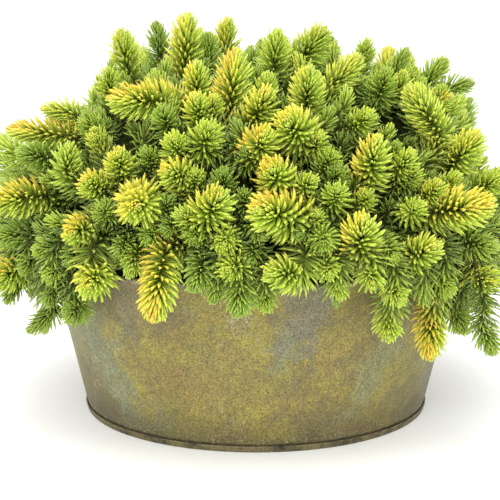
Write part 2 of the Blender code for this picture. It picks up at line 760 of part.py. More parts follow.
class Crowd:
    """The space that is already taken, so that what comes next is kept clear of it."""

    def __init__(self):
        self.points = np.zeros((0, 3))
        self.radii = np.zeros(0)
        self.owners = np.zeros(0, int)

    def add(self, points, radii, owner):
        """Takes up the balls along one stem or leaf."""
        self.points = np.vstack((self.points, points))
        self.radii = np.append(self.radii, radii)
        self.owners = np.append(self.owners, np.full(len(radii), owner))

    def meets(self, points, radii, owner):
        """Whether balls come too near to those of any other shoot."""
        near = np.abs(self.points - points.mean(axis=0)).max(axis=1) < 0.03
        near &= self.owners != owner
        if not near.any():
            return False
        gaps = np.linalg.norm(points[:, None] - self.points[near][None], axis=2)
        return bool((gaps < radii[:, None] + self.radii[near][None] + CLEAR_GAP).any())

    def free(self, points, radii, owner, bunch):
        """Whether balls of a bunch's shoot are clear of the other shoots, the tub and the other cores."""
        roof = RELIEF_HEIGHT + radii.max() + CLEAR_GAP
        apart = above_dome(points, roof) | inside_bunch(points, bunch, radii.max() + FIT_GAP)
        return bool(apart.all()) and not (self.in_tub(points) or self.meets(points, radii, owner))

    def in_tub(self, points):
        """Whether a ball's middle comes too near to the tub."""
        out = np.hypot(points[:, 0], points[:, 1])
        low = points[:, 2] < TUB_HEIGHT + TUB_CLEARANCE
        return bool((low & (out < RIM_RADIUS + TUB_CLEARANCE)).any())


def stem_balls(path):
    """Balls along a shoot's stem."""
    points = np.array([tuple(point) for point in path])
    return points, np.full(len(points), SHOOT_RADIUS)


def leaf_balls(root, tip):
    """Balls along a leaf, which get smaller to its tip."""
    shares = np.linspace(0.1, 1, LEAF_STEPS)
    points = np.array(root)[None] + shares[:, None] * np.array(tip - root)[None]
    return points, SHOOT_RADIUS * 0.95 * (1 - shares) + 0.0001


def shoot_mesh(shoot, bunch, path, owner, crowd, draw):
    """A slim three-sided core with its faces drawn out into needle leaves."""
    length = sum((b - a).length for a, b in zip(path, path[1:]))
    stations, leaves = band_plan(shoot, length)
    points = [at_distance(path, distance) for distance in stations]
    frames = ring_frames(points)
    turn = draw.uniform(0, SHOOT_SIDES)
    bm = bmesh.new()
    loops = []
    for index, (point, (side, cross, _)) in enumerate(zip(points, frames)):
        reaches = [SHOOT_RADIUS if index else SHOOT_TIP_RADIUS] * SHOOT_SIDES
        ring = ring_round(point, side, cross, reaches, turn - index * 0.5)
        loops.append([bm.verts.new(place) for place in ring])
    chosen = []
    for index, count in enumerate(leaves):
        standing, hanging = band_faces(bm, loops[index + 1], loops[index])
        distance = (stations[index] + stations[index + 1]) * 0.5
        middle = points[index].lerp(points[index + 1], 0.5)
        faces = {0: [], SHOOT_SIDES: standing, 2 * SHOOT_SIDES: standing + hanging}[count]
        chosen += [(face, distance, -frames[index][2], middle) for face in faces]
    cap = bm.faces.new(loops[0])
    bm.faces.new(loops[-1][::-1])
    placed = [(cap, points[0] + shoot.direction * leaf_size(0, shoot, draw) * 0.9)]
    for face, distance, tangent, middle in chosen:
        root = face.calc_center_median()
        outward = root - middle
        outward = (outward - tangent * outward.dot(tangent)).normalized()
        aim = leaf_aim(tangent, outward, distance, draw)
        size = leaf_size(distance, shoot, draw)
        full = size
        while size >= full * LEAST_LEAF:
            balls, radii = leaf_balls(root, root + aim * size)
            if crowd.free(balls, radii, owner, bunch) and above_dome(balls, CORE_CROWN).all():
                crowd.add(balls, radii, owner)
                placed.append((face, root + aim * size))
                break
            size *= LEAF_SHRINK
    for face, tip in placed:
        vertex = bmesh.ops.poke(bm, faces=[face])["verts"][0]
        vertex.co = tip
    return mesh_of(bm, "shoot")


def largest_body(mesh):
    """Keeps a mesh's largest connected body and drops loose scraps."""
    bm = bmesh.new()
    bm.from_mesh(mesh)
    left = set(bm.verts)
    bodies = []
    while left:
        queue = [left.pop()]
        body = set(queue)
        while queue:
            for edge in queue.pop().link_edges:
                for vertex in edge.verts:
                    if vertex in left:
                        left.remove(vertex)
                        body.add(vertex)
                        queue.append(vertex)
        bodies.append(body)
    bodies.sort(key=len)
    for body in bodies[:-1]:
        bmesh.ops.delete(bm, geom=list(body), context="VERTS")
    bm.to_mesh(mesh)
    bm.free()


def join_bunch(name, core, shoots, finish):
    """Joins a bunch's shoots to its core by one union, and removes the shoots."""
    joined = linked(name, core, finish)
    gathered = bpy.data.collections.new(name + "_shoots")
    bpy.context.scene.collection.children.link(gathered)
    for mesh in shoots:
        shoot = bpy.data.objects.new("shoot", mesh)
        gathered.objects.link(shoot)
    union = joined.modifiers.new("union", "BOOLEAN")
    union.operation = "UNION"
    union.solver = "MANIFOLD"
    union.operand_type = "COLLECTION"
    union.collection = gathered
    bake_modifiers(joined)
    for shoot in list(gathered.objects):
        bpy.data.objects.remove(shoot, do_unlink=True)
    bpy.data.collections.remove(gathered)
    largest_body(joined.data)


def grow_one(shoot, bunches, crowd, owner):
    """The first way to grow a shoot clear of the others: from a near bunch, bent or lifted a little."""
    outward = mound_normal(shoot.centre)
    sideways = outward.cross(UP).normalized()
    for ease, lift, aside in STEM_WAYS:
        lifted = shoot._replace(centre=shoot.centre + outward * lift + sideways * aside)
        root = lifted.centre - lifted.direction * lifted.length * 0.5
        for bunch in sorted(bunches, key=lambda found: (found.middle - root).length)[:NEAR_BUNCHES]:
            path = smooth_path(lifted, bunch, ease)
            balls, radii = stem_balls(path)
            outside = above_dome(balls, 0)
            balls, radii = balls[outside], radii[outside]
            if crowd.free(balls, radii, owner, bunch):
                crowd.add(balls, radii, owner)
                return lifted, bunch, path
    return None


def crown_shoot(bunch, draw):
    """A natural shoot straight above a bunch."""
    aim = bunch.middle - RIM_CENTRE
    return under_edge(natural_shoot(math.atan2(aim.y, aim.x), math.acos(aim.z / aim.length), draw))[0]


def grow(shoots, bunches, crowd, draw):
    """Gives each shoot that has a clear way to a bunch, and grows one more on any bunch left bare."""
    grown = []
    for shoot in shoots:
        found = grow_one(shoot, bunches, crowd, len(grown))
        if found:
            grown.append(found)
    bare = [bunch for bunch in bunches if not any(holder is bunch for _, holder, _ in grown)]
    for bunch in bare:
        found = grow_one(crown_shoot(bunch, draw), [bunch], crowd, len(grown))
        if found:
            grown.append(found)
    return grown


def make_bunches(shoots, bunches, finishes):
    """Every bunch of shoots, each as one solid."""
    crowd = Crowd()
    draw = np.random.default_rng(SEED + 1)
    grown = grow(shoots, bunches, crowd, draw)
    meshes = [shoot_mesh(*entry, owner, crowd, draw) for owner, entry in enumerate(grown)]
    for index, bunch in enumerate(bunches):
        own = [owner for owner, (_, holder, _) in enumerate(grown) if holder is bunch]
        core = core_mesh(bunch, [grown[owner][2] for owner in own])
        finish = finishes[index % len(finishes)]
        join_bunch(f"leafy_bunch_{index + 1:02d}", core, [meshes[owner] for owner in own], finish)


def main():
    """Builds the tub, the soil and the bunches."""
    clear_scene()
    patina = material("aged_tub_metal", (0.30, 0.26, 0.12), 0.55, 0.3)
    foot = material("tub_foot_metal", (0.14, 0.12, 0.07), 0.60, 0.3)
    earth = material("potting_soil", (0.05, 0.035, 0.025), 0.95)
    leaf_colours = ((0.32, 0.42, 0.05), (0.22, 0.33, 0.05), (0.42, 0.42, 0.06), (0.16, 0.26, 0.05))
    leaves = [material(f"leaves_{index + 1}", colour, 0.5) for index, colour in enumerate(leaf_colours)]
    wall = linked("tub_wall", turned("tub_wall", tub_wall_outline()), patina)
    base = linked("tub_base", turned("tub_base", tub_base_outline()), foot)
    for round_piece in (wall, base):
        round_piece.data.shade_smooth()
        round_piece.data.set_sharp_from_angle(angle=math.radians(40))
    shoots = place_shoots()
    bunches = place_bunches(shoots)
    make_soil(bunches, earth)
    make_bunches(shoots, bunches, leaves)


main()
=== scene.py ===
"""Golden stonecrop mounded in an aged round metal tub.

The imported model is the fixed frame. Finer pieces stand in for its solids: the tub's wall and foot, and
one leafy piece for each bunch of shoots. Lengths are in metres and the viewer is on the -Y side.
"""

import logging
import math
from collections.abc import Iterator
from dataclasses import asdict, dataclass, replace
from enum import Enum
from functools import reduce
from typing import Any, NamedTuple

import bmesh
import bpy
import numpy as np
from bpy.types import Material, Mesh, Node, NodeSocket, NodeTree, Object
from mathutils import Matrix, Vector, noise


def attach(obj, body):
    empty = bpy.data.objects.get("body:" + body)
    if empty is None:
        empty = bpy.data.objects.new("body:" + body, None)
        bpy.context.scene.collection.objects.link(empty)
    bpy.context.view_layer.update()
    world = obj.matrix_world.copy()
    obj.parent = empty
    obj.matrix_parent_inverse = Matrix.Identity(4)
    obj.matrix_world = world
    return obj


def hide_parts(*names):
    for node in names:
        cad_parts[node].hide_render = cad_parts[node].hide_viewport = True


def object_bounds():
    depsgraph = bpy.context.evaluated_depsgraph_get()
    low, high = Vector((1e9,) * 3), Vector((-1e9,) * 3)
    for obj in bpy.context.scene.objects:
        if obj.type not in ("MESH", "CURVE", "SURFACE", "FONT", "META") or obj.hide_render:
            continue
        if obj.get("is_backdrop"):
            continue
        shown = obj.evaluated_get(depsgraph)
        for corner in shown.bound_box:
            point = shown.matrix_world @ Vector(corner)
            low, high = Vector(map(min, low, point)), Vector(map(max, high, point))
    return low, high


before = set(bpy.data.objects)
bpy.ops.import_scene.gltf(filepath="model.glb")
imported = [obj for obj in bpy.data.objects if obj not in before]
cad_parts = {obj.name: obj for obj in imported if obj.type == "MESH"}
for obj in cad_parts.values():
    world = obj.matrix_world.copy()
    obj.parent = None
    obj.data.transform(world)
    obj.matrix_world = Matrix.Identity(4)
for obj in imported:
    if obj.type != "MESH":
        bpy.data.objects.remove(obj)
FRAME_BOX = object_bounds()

LOG = logging.getLogger("potted_sedum")
UP = Vector((0, 0, 1))
# The way that the gold and orange side of each leaf faces, towards the light from above and the front. It
# is partly the leaves' own ripened colour and partly painted light
RIPE_AND_LIT_SIDE = Vector((-0.55, -0.35, 0.75)).normalized()
GOLDEN_ANGLE = math.pi * (3 - math.sqrt(5))

Span = tuple[float, float]
Triple = tuple[float, float, float]


class Head(NamedTuple):
    """A shoot head of the front, in millimetres and degrees as it is seen.

    across and rise run from the middle of the rim. heading is the way that the tip points, from the
    right anticlockwise. lay is 0 for a head that faces the viewer and 1 for one seen from its side.
    gold runs from green to yellow and blush says how much orange the leaf tips have.
    """

    across: float
    rise: float
    heading: float
    lay: float
    length: float
    width: float
    gold: float
    blush: float = 0.0


HEADS = (
    Head(-95, 137, 100, 0.9, 34, 25, 0.65, 0.15),
    Head(-70, 143, 97, 0.95, 34, 20, 0.1),
    Head(-50, 143, 88, 0.95, 40, 30, 0.75, 0.2),
    Head(-21, 151, 85, 0.8, 22, 24, 0.8, 0.1),
    Head(-16, 117, 84, 0.95, 40, 28, 0.8, 0.8),
    Head(-43, 117, 92, 0.75, 28, 23, 0.85, 0.3),
    Head(-87, 99, 180, 0.85, 42, 30, 0.8, 0.9),
    Head(-106, 116, 95, 0.6, 24, 20, 0.6, 0.05),
    Head(-145, 92, 172, 0.9, 26, 18, 0.7, 0.05),
    Head(-159, 76, 175, 0.95, 44, 22, 0.85, 0.9),
    Head(-135, 59, 80, 0.7, 26, 26, 0.4),
    Head(-98, 58, 90, 0.4, 24, 23, 0.8),
    Head(-119, 40, 150, 0.3, 24, 24, 0.85, 0.45),
    Head(-58, 68, 100, 0.3, 24, 23, 0.5),
    Head(-60, 47, 160, 0.4, 26, 26, 0.85, 0.5),
    Head(-34, 75, 60, 0.5, 26, 28, 0.45),
    Head(-84, 24, 270, 0.1, 28, 38, 1.0, 0.1),
    Head(-129, 5, 200, 0.3, 26, 28, 0.9, 0.5),
    Head(-110, 21, 120, 0.2, 22, 20, 0.2),
    Head(-173, 28, 190, 0.8, 42, 30, 0.85, 0.7),
    Head(-30, 23, 55, 0.55, 36, 34, 0.5, 0.4),
    Head(-53, 17, 150, 0.5, 22, 19, 0.4),
    Head(-22, -3, 260, 0.15, 24, 22, 0.5),
    Head(-42, 96, 100, 0.5, 26, 24, 0.75, 0.1),
    Head(-66, 88, 110, 0.5, 26, 22, 0.15),
    Head(-161, 60, 170, 0.6, 28, 26, 0.1),
    Head(-177, 2, 190, 0.7, 28, 24, 0.15),
    Head(14, 138, 88, 0.85, 30, 26, 0.5),
    Head(41, 139, 50, 0.8, 36, 30, 0.4, 0.3),
    Head(79, 137, 80, 0.7, 22, 20, 0.4),
    Head(105, 129, 62, 0.9, 26, 18, 0.2),
    Head(66, 121, 45, 0.9, 32, 24, 0.65, 0.1),
    Head(130, 121, 50, 0.9, 28, 24, 0.25),
    Head(149, 110, 12, 0.9, 24, 20, 0.15),
    Head(37, 110, 88, 0.7, 34, 26, 0.65, 0.1),
    Head(6, 99, 60, 0.6, 28, 26, 0.8, 0.1),
    Head(26, 80, 140, 0.4, 32, 36, 0.85, 0.15),
    Head(92, 115, 80, 0.6, 24, 24, 0.25),
    Head(120, 93, 125, 0.9, 46, 26, 0.7, 0.1),
    Head(152, 65, 50, 0.7, 32, 32, 0.7, 0.1),
    Head(79, 87, 45, 0.3, 22, 20, 0.5),
    Head(84, 60, 85, 0.6, 36, 28, 0.85, 0.4),
    Head(4, 70, 70, 0.35, 28, 31, 0.9, 0.6),
    Head(13, 46, 130, 0.35, 28, 33, 0.9, 0.7),
    Head(39, 41, 45, 0.4, 22, 18, 0.5),
    Head(58, 33, 90, 0.3, 22, 22, 0.4),
    Head(109, 57, 50, 0.5, 24, 22, 0.5),
    Head(130, 37, 60, 0.4, 22, 18, 0.7),
    Head(171, 40, 20, 0.6, 28, 24, 0.5),
    Head(14, 18, 165, 0.6, 44, 37, 0.95, 0.8),
    Head(114, 22, 80, 0.2, 22, 22, 0.5),
    Head(145, 21, 8, 0.8, 54, 34, 1.0, 0.3),
    Head(76, 4, 88, 0.55, 34, 33, 1.0, 0.05),
    Head(48, -2, 270, 0.15, 22, 24, 0.25),
    Head(121, -9, 30, 0.5, 32, 30, 0.65, 0.05),
    Head(163, -5, 350, 0.6, 28, 26, 0.2),
    Head(-178, -26, 210, 0.6, 34, 29, 0.6, 0.6),
    Head(-147, -26, 230, 0.3, 22, 20, 0.25),
    Head(-117, -30, 250, 0.3, 30, 34, 0.7, 0.05),
    Head(-130, -54, 250, 0.4, 26, 24, 0.1),
    Head(-155, -60, 220, 0.9, 30, 18, 0.05),
    Head(-70, -37, 262, 0.9, 46, 30, 0.95, 0.6),
    Head(-42, -29, 250, 0.7, 28, 24, 0.1),
    Head(-12, -44, 268, 0.8, 30, 26, 0.1),
    Head(-17, -21, 200, 0.3, 26, 27, 0.5, 0.05),
    Head(19, -25, 175, 0.6, 36, 28, 0.55, 0.05),
    Head(52, -23, 280, 0.3, 24, 20, 0.45),
    Head(83, -29, 270, 0.3, 24, 25, 0.5),
    Head(102, -41, 300, 0.4, 24, 22, 0.45),
    Head(95, -65, 268, 0.6, 24, 26, 0.5),
    Head(125, -71, 268, 0.9, 36, 26, 0.9, 0.8),
    Head(164, -30, 340, 0.5, 30, 28, 0.6, 0.1),
    Head(143, -59, 285, 0.7, 28, 24, 0.2),
    Head(167, -74, 290, 0.8, 28, 22, 0.05),
)

SMALL_HEADS = (
    Head(-34, 145, 90, 0.8, 22, 22, 0.2),
    Head(-124, 89, 110, 0.6, 20, 18, 0.1),
    Head(-117, 79, 100, 0.5, 20, 16, 0.6),
    Head(-80, 63, 120, 0.4, 20, 18, 0.15),
    Head(-45, 47, 80, 0.3, 20, 18, 0.4),
    Head(-45, 1, 250, 0.2, 20, 18, 0.2),
    Head(-31, 101, 70, 0.5, 22, 20, 0.75, 0.1),
    Head(-78, 1, 260, 0.2, 20, 18, 0.2),
    Head(114, 122, 60, 0.8, 20, 18, 0.3),
    Head(8, 116, 80, 0.7, 24, 20, 0.55),
    Head(135, 107, 80, 0.7, 24, 20, 0.35),
    Head(46, 74, 60, 0.4, 20, 18, 0.55),
    Head(102, 68, 70, 0.4, 20, 16, 0.2),
    Head(117, 50, 60, 0.4, 20, 16, 0.5),
    Head(146, 44, 40, 0.5, 22, 18, 0.5),
    Head(45, 17, 80, 0.3, 20, 16, 0.5),
    Head(81, 32, 90, 0.3, 20, 16, 0.45, 0.35),
    Head(7, -48, 268, 0.6, 22, 20, 0.25),
    Head(-100, -8, 240, 0.3, 20, 18, 0.15),
    Head(62, -40, 280, 0.6, 20, 18, 0.35),
    Head(-30, -40, 255, 0.8, 24, 20, 0.1),
    Head(100, -12, 290, 0.4, 22, 20, 0.3),
    Head(140, -36, 300, 0.5, 24, 22, 0.3),
    Head(-158, -8, 200, 0.5, 22, 20, 0.3),
    Head(55, 61, 60, 0.4, 22, 18, 0.3),
    Head(-124, 86, 150, 0.5, 18, 20, 0.3),
    Head(-114, 118, 110, 0.8, 18, 12, 0.25),
    Head(138, 103, 30, 0.6, 20, 22, 0.55, 0.45),
    Head(107, 120, 80, 0.7, 18, 18, 0.55),
    Head(116, 121, 70, 0.7, 18, 16, 0.55),
    Head(-118, 75, 120, 0.4, 18, 16, 0.75, 0.1),
    Head(-178, -42, 245, 0.8, 26, 22, 0.1),
    Head(-168, -20, 230, 0.5, 24, 22, 0.0),
    Head(-150, -45, 250, 0.6, 24, 20, 0.0),
    Head(-136, -14, 240, 0.4, 22, 20, 0.0),
    Head(4, 4, 300, 0.5, 22, 20, 0.1),
    Head(-24, 46, 90, 0.4, 22, 20, 0.05),
    Head(-64, 28, 60, 0.4, 20, 18, 0.05),
    Head(-6, 64, 100, 0.4, 20, 18, 0.05),
    Head(60, 50, 80, 0.4, 20, 18, 0.1),
    Head(-4, -14, 250, 0.5, 22, 18, 0.05),
    Head(34, 4, 200, 0.5, 22, 18, 0.05),
    Head(-66, 8, 220, 0.4, 20, 18, 0.05),
    Head(-91, -21, 255, 0.6, 24, 22, 0.3),
    Head(-8, 32, 90, 0.4, 20, 18, 0.1),
)

# Upper edge of the plant as it is seen, in millimetres across and up from the middle of the rim
UPPER_EDGE = (
    (-200, -155, -148, -122, -106, -53, -8, 50, 110, 138, 155, 163, 180, 200),
    (80, 88, 98, 98, 145, 160, 147, 153, 139, 131, 116, 77, 52, 20),
)


class Tone(Enum):
    """Colours read from the plant and the tub, as screen values from 0 to 255."""

    LEAF_GREEN = (147, 172, 72)
    LEAF_LIME = (190, 214, 82)
    LEAF_GOLD = (246, 226, 82)
    LEAF_DEEP = (108, 130, 62)
    LEAF_OLIVE = (156, 172, 78)
    LEAF_ORANGE = (238, 192, 70)
    STEM = (104, 92, 44)
    # painted shade: the dark of the old growth deep inside the bunches; also the soil's second tone
    SHADE = (84, 94, 44)
    PATINA_OLIVE = (127, 119, 54)
    PATINA_YELLOW = (147, 136, 60)
    PATINA_OCHRE = (136, 114, 60)
    PATINA_EARTH = (104, 95, 62)
    PATINA_BLUE = (123, 130, 97)
    PATINA_SLATE = (108, 109, 96)
    SALT = (196, 190, 160)
    GRIME = (62, 54, 40)
    BARE_EDGE = (205, 200, 170)
    FOOT = (112, 102, 66)
    FOOT_DARK = (40, 36, 26)
    SOIL = (52, 40, 30)
    FLOOR = (250, 250, 250)

    def linear(self, light: float = 1.0) -> tuple[float, ...]:
        """The colour in the renderer's linear values, with full alpha.

        Args:
            light: How much of the colour's light is left.

        Returns:
            Red, green, blue and alpha.
        """
        parts = []
        for value in self.value:
            share = value / 255
            parts.append(share / 12.92 if share <= 0.04045 else ((share + 0.055) / 1.055) ** 2.4)
        return (*(part * light for part in parts), 1.0)


class Graph:
    """A node tree being built, with short calls for what every tree here needs."""

    def __init__(self, tree: NodeTree) -> None:
        """Keeps the tree."""
        self.tree = tree

    def feed(self, target: NodeSocket, value: Any) -> None:
        """Links a socket into another one, or sets a plain value on it.

        Args:
            target: The input.
            value: The socket, tone or plain value that goes into it.
        """
        if isinstance(value, NodeSocket):
            self.tree.links.new(value, target)
        else:
            target.default_value = value.linear() if isinstance(value, Tone) else value

    def add(self, kind: str, settings: dict[str, Any] | None = None, **feeds: Any) -> Node:
        """Adds a node.

        Args:
            kind: The node's type.
            settings: Its own properties.
            feeds: What goes into its inputs, by name with underscores for spaces.

        Returns:
            The node.
        """
        node = self.tree.nodes.new(kind)
        for name, value in (settings or {}).items():
            setattr(node, name, value)
        for name, value in feeds.items():
            wanted = name.replace("_", " ")
            self.feed(next(s for s in node.inputs if s.enabled and s.name == wanted), value)
        return node

    def out(self, kind: str, settings: dict[str, Any] | None = None, **feeds: Any) -> NodeSocket:
        """The first output in use of a new node, which is made as add does."""
        return next(socket for socket in self.add(kind, settings, **feeds).outputs if socket.enabled)

    def worked(self, kind: str, settings: dict[str, Any], values: tuple[Any, ...]) -> NodeSocket:
        """What a new node works out from values for its inputs in their order.

        Args:
            kind: The node's type.
            settings: Its own properties.
            values: What goes into its inputs.

        Returns:
            Its output.
        """
        node = self.add(kind, settings)
        for socket, value in zip([socket for socket in node.inputs if socket.enabled], values):
            self.feed(socket, value)
        return next(socket for socket in node.outputs if socket.enabled)

    def math(self, operation: str, *values: Any, clamp: bool = False) -> NodeSocket:
        """A number worked out from others."""
        return self.worked("ShaderNodeMath", {"operation": operation, "use_clamp": clamp}, values)

    def vector(self, operation: str, *values: Any) -> NodeSocket:
        """A vector, or a number for a dot product, worked out from vectors and numbers."""
        return self.worked("ShaderNodeVectorMath", {"operation": operation}, values)

    def times(self, *values: Any) -> NodeSocket:
        """The product of numbers."""
        return reduce(lambda one, two: self.math("MULTIPLY", one, two), values)

    def plus(self, one: Any, two: Any) -> NodeSocket:
        """The sum of two numbers."""
        return self.math("ADD", one, two)

    def minus(self, one: Any, two: Any, clamp: bool = False) -> NodeSocket:
        """One number less another."""
        return self.math("SUBTRACT", one, two, clamp=clamp)

    def rest(self, value: Any) -> NodeSocket:
        """What is left of 1."""
        return self.minus(1.0, value)

    def line(self, value: Any, slope: Any, start: Any) -> NodeSocket:
        """A number times a slope, plus a start."""
        return self.math("MULTIPLY_ADD", value, slope, start)

    def decay(self, distance: Any, reach: Any) -> NodeSocket:
        """A number that falls from 1 to 0 as a distance grows past a reach."""
        return self.math("EXPONENT", self.math("DIVIDE", self.times(distance, -1.0), reach))

    def fade(self, value: Any, low: Any, high: Any) -> NodeSocket:
        """A smooth step from 0 at low to 1 at high."""
        smooth = {"interpolation_type": "SMOOTHSTEP"}
        return self.out("ShaderNodeMapRange", smooth, Value=value, From_Min=low, From_Max=high)

    def blend(self, factor: Any, one: Any, two: Any, kind: str = "MIX") -> NodeSocket:
        """A colour between two others, or one laid on the other in another way."""
        settings = {"data_type": "RGBA", "blend_type": kind, "clamp_factor": True}
        return self.out("ShaderNodeMix", settings, Factor=factor, A=one, B=two)

    def noise(self, place: Any, scale: Any, detail: float, rough: float) -> NodeSocket:
        """A cloudy value at each place."""
        return self.out("ShaderNodeTexNoise", Vector=place, Scale=scale, Detail=detail, Roughness=rough)

    def read(self, name: str) -> NodeSocket:
        """A named number in a geometry tree."""
        return self.out("GeometryNodeInputNamedAttribute", {"data_type": "FLOAT"}, Name=name)

    def mark(self, mesh: Any, name: str, value: Any) -> NodeSocket:
        """Writes a named number on each point in a geometry tree."""
        settings = {"data_type": "FLOAT", "domain": "POINT"}
        return self.out("GeometryNodeStoreNamedAttribute", settings, Geometry=mesh, Name=name, Value=value)


def new_group(name: str, inputs: dict[str, float | None], *outputs: str) -> tuple[Graph, Any, Any]:
    """Starts a shader node group.

    Args:
        name: The group's name.
        inputs: Each input's name and starting number, or None for a vector.
        outputs: The names of the outputs, all numbers.

    Returns:
        The graph, what the group is given and what is wanted from it.
    """
    tree = bpy.data.node_groups.new(name, "ShaderNodeTree")
    for label, start in inputs.items():
        kind = "NodeSocketVector" if start is None else "NodeSocketFloat"
        socket = tree.interface.new_socket(name=label, in_out="INPUT", socket_type=kind)
        if start is not None:
            socket.default_value = start
    for label in outputs:
        tree.interface.new_socket(name=label, in_out="OUTPUT", socket_type="NodeSocketFloat")
    graph = Graph(tree)
    return graph, graph.add("NodeGroupInput").outputs, graph.add("NodeGroupOutput").inputs


@dataclass(frozen=True)
class Mottling:
    """The group for cloudy blotches with ragged edges, in two sizes."""

    finer: float = 5.0
    fine_share: float = 0.3

    def build(self) -> NodeTree:
        """Makes the group.

        Returns:
            Its tree, with a mask and the plain cloud.
        """
        starts = {"Place": None, "Scale": 20.0, "Spread": 0.5, "Edge": 0.08}
        graph, given, wanted = new_group("mottling", starts, "Mask", "Cloud")
        place, scale, spread, edge = (given[name] for name in starts)
        ragged = graph.noise(place, graph.times(scale, self.finer), detail=6.0, rough=0.65)
        cloud = graph.noise(place, scale, detail=4.0, rough=0.6)
        mixed = graph.plus(graph.times(cloud, 1 - self.fine_share), graph.times(ragged, self.fine_share))
        low, high = graph.minus(spread, edge), graph.plus(spread, edge)
        graph.feed(wanted["Mask"], graph.fade(mixed, low, high))
        graph.feed(wanted["Cloud"], mixed)
        return graph.tree


@dataclass(frozen=True)
class Speckle:
    """The group for fine grain and scattered specks."""

    speck_edge: Span = (0.15, 0.42)
    finer: float = 1.6

    def build(self) -> NodeTree:
        """Makes the group.

        Returns:
            Its tree, with the specks and the grain.
        """
        starts = {"Place": None, "Scale": 600.0, "Share": 0.2}
        graph, given, wanted = new_group("speckle", starts, "Specks", "Grain")
        place, scale, share = (given[name] for name in starts)
        cells = graph.add("ShaderNodeTexVoronoi", {"feature": "F1"}, Vector=place, Scale=scale).outputs
        chosen = graph.math("LESS_THAN", graph.out("ShaderNodeSeparateColor", Color=cells["Color"]), share)
        near = graph.rest(graph.fade(cells["Distance"], *self.speck_edge))
        graph.feed(wanted["Specks"], graph.times(chosen, near))
        grain = graph.noise(place, graph.times(scale, self.finer), detail=4.0, rough=0.7)
        graph.feed(wanted["Grain"], grain)
        return graph.tree


@dataclass(frozen=True)
class Effects:
    """The shader groups that more than one material uses."""

    mottling: NodeTree
    speckle: NodeTree


class Finish:
    """A material round one Principled shader. Each kind of finish lays its own colours and relief."""

    name: str = "finish"

    def __init__(self, effects: Effects) -> None:
        """Makes the material.

        Args:
            effects: The shared shader groups.
        """
        self.effects = effects
        self.material = bpy.data.materials.new(self.name)
        self.material.use_nodes = True
        self.graph = Graph(self.material.node_tree)
        self.inputs = self.material.node_tree.nodes["Principled BSDF"].inputs
        self.place = self.graph.add("ShaderNodeTexCoord").outputs["Object"]
        self.body: Any = None
        self.lay()

    def lay(self) -> None:
        """Lays the colours and the relief."""
        raise NotImplementedError

    def feed(self, **values: Any) -> None:
        """Sets the shader's inputs, by name with underscores for spaces."""
        for name, value in values.items():
            self.graph.feed(self.inputs[name.replace("_", " ")], value)

    def effect(self, tree: NodeTree, **feeds: Any) -> Any:
        """The outputs of a shared group with its own values, at the object's places unless told."""
        feeds = {"Place": self.place} | feeds
        return self.graph.add("ShaderNodeGroup", {"node_tree": tree}, **feeds).outputs

    def attribute(self, name: str) -> NodeSocket:
        """A number that the mesh carries."""
        return self.graph.add("ShaderNodeAttribute", {"attribute_name": name}).outputs["Fac"]

    def paint(self, mask: Any, tone: Tone, strength: float = 1.0) -> None:
        """Lays a tone over the body colour where a mask says."""
        self.body = self.graph.blend(self.graph.times(mask, strength), self.body, tone)

    def shade(self, light: Any) -> None:
        """Makes the body colour darker or lighter by a number."""
        tint = self.graph.out("ShaderNodeCombineColor", Red=light, Green=light, Blue=light)
        self.body = self.graph.blend(1.0, self.body, tint, "MULTIPLY")

    def bump(self, height: Any, strength: float, distance: float) -> None:
        """Sets the relief."""
        values = {"Strength": strength, "Distance": distance, "Height": height}
        self.feed(Normal=self.graph.out("ShaderNodeBump", **values))


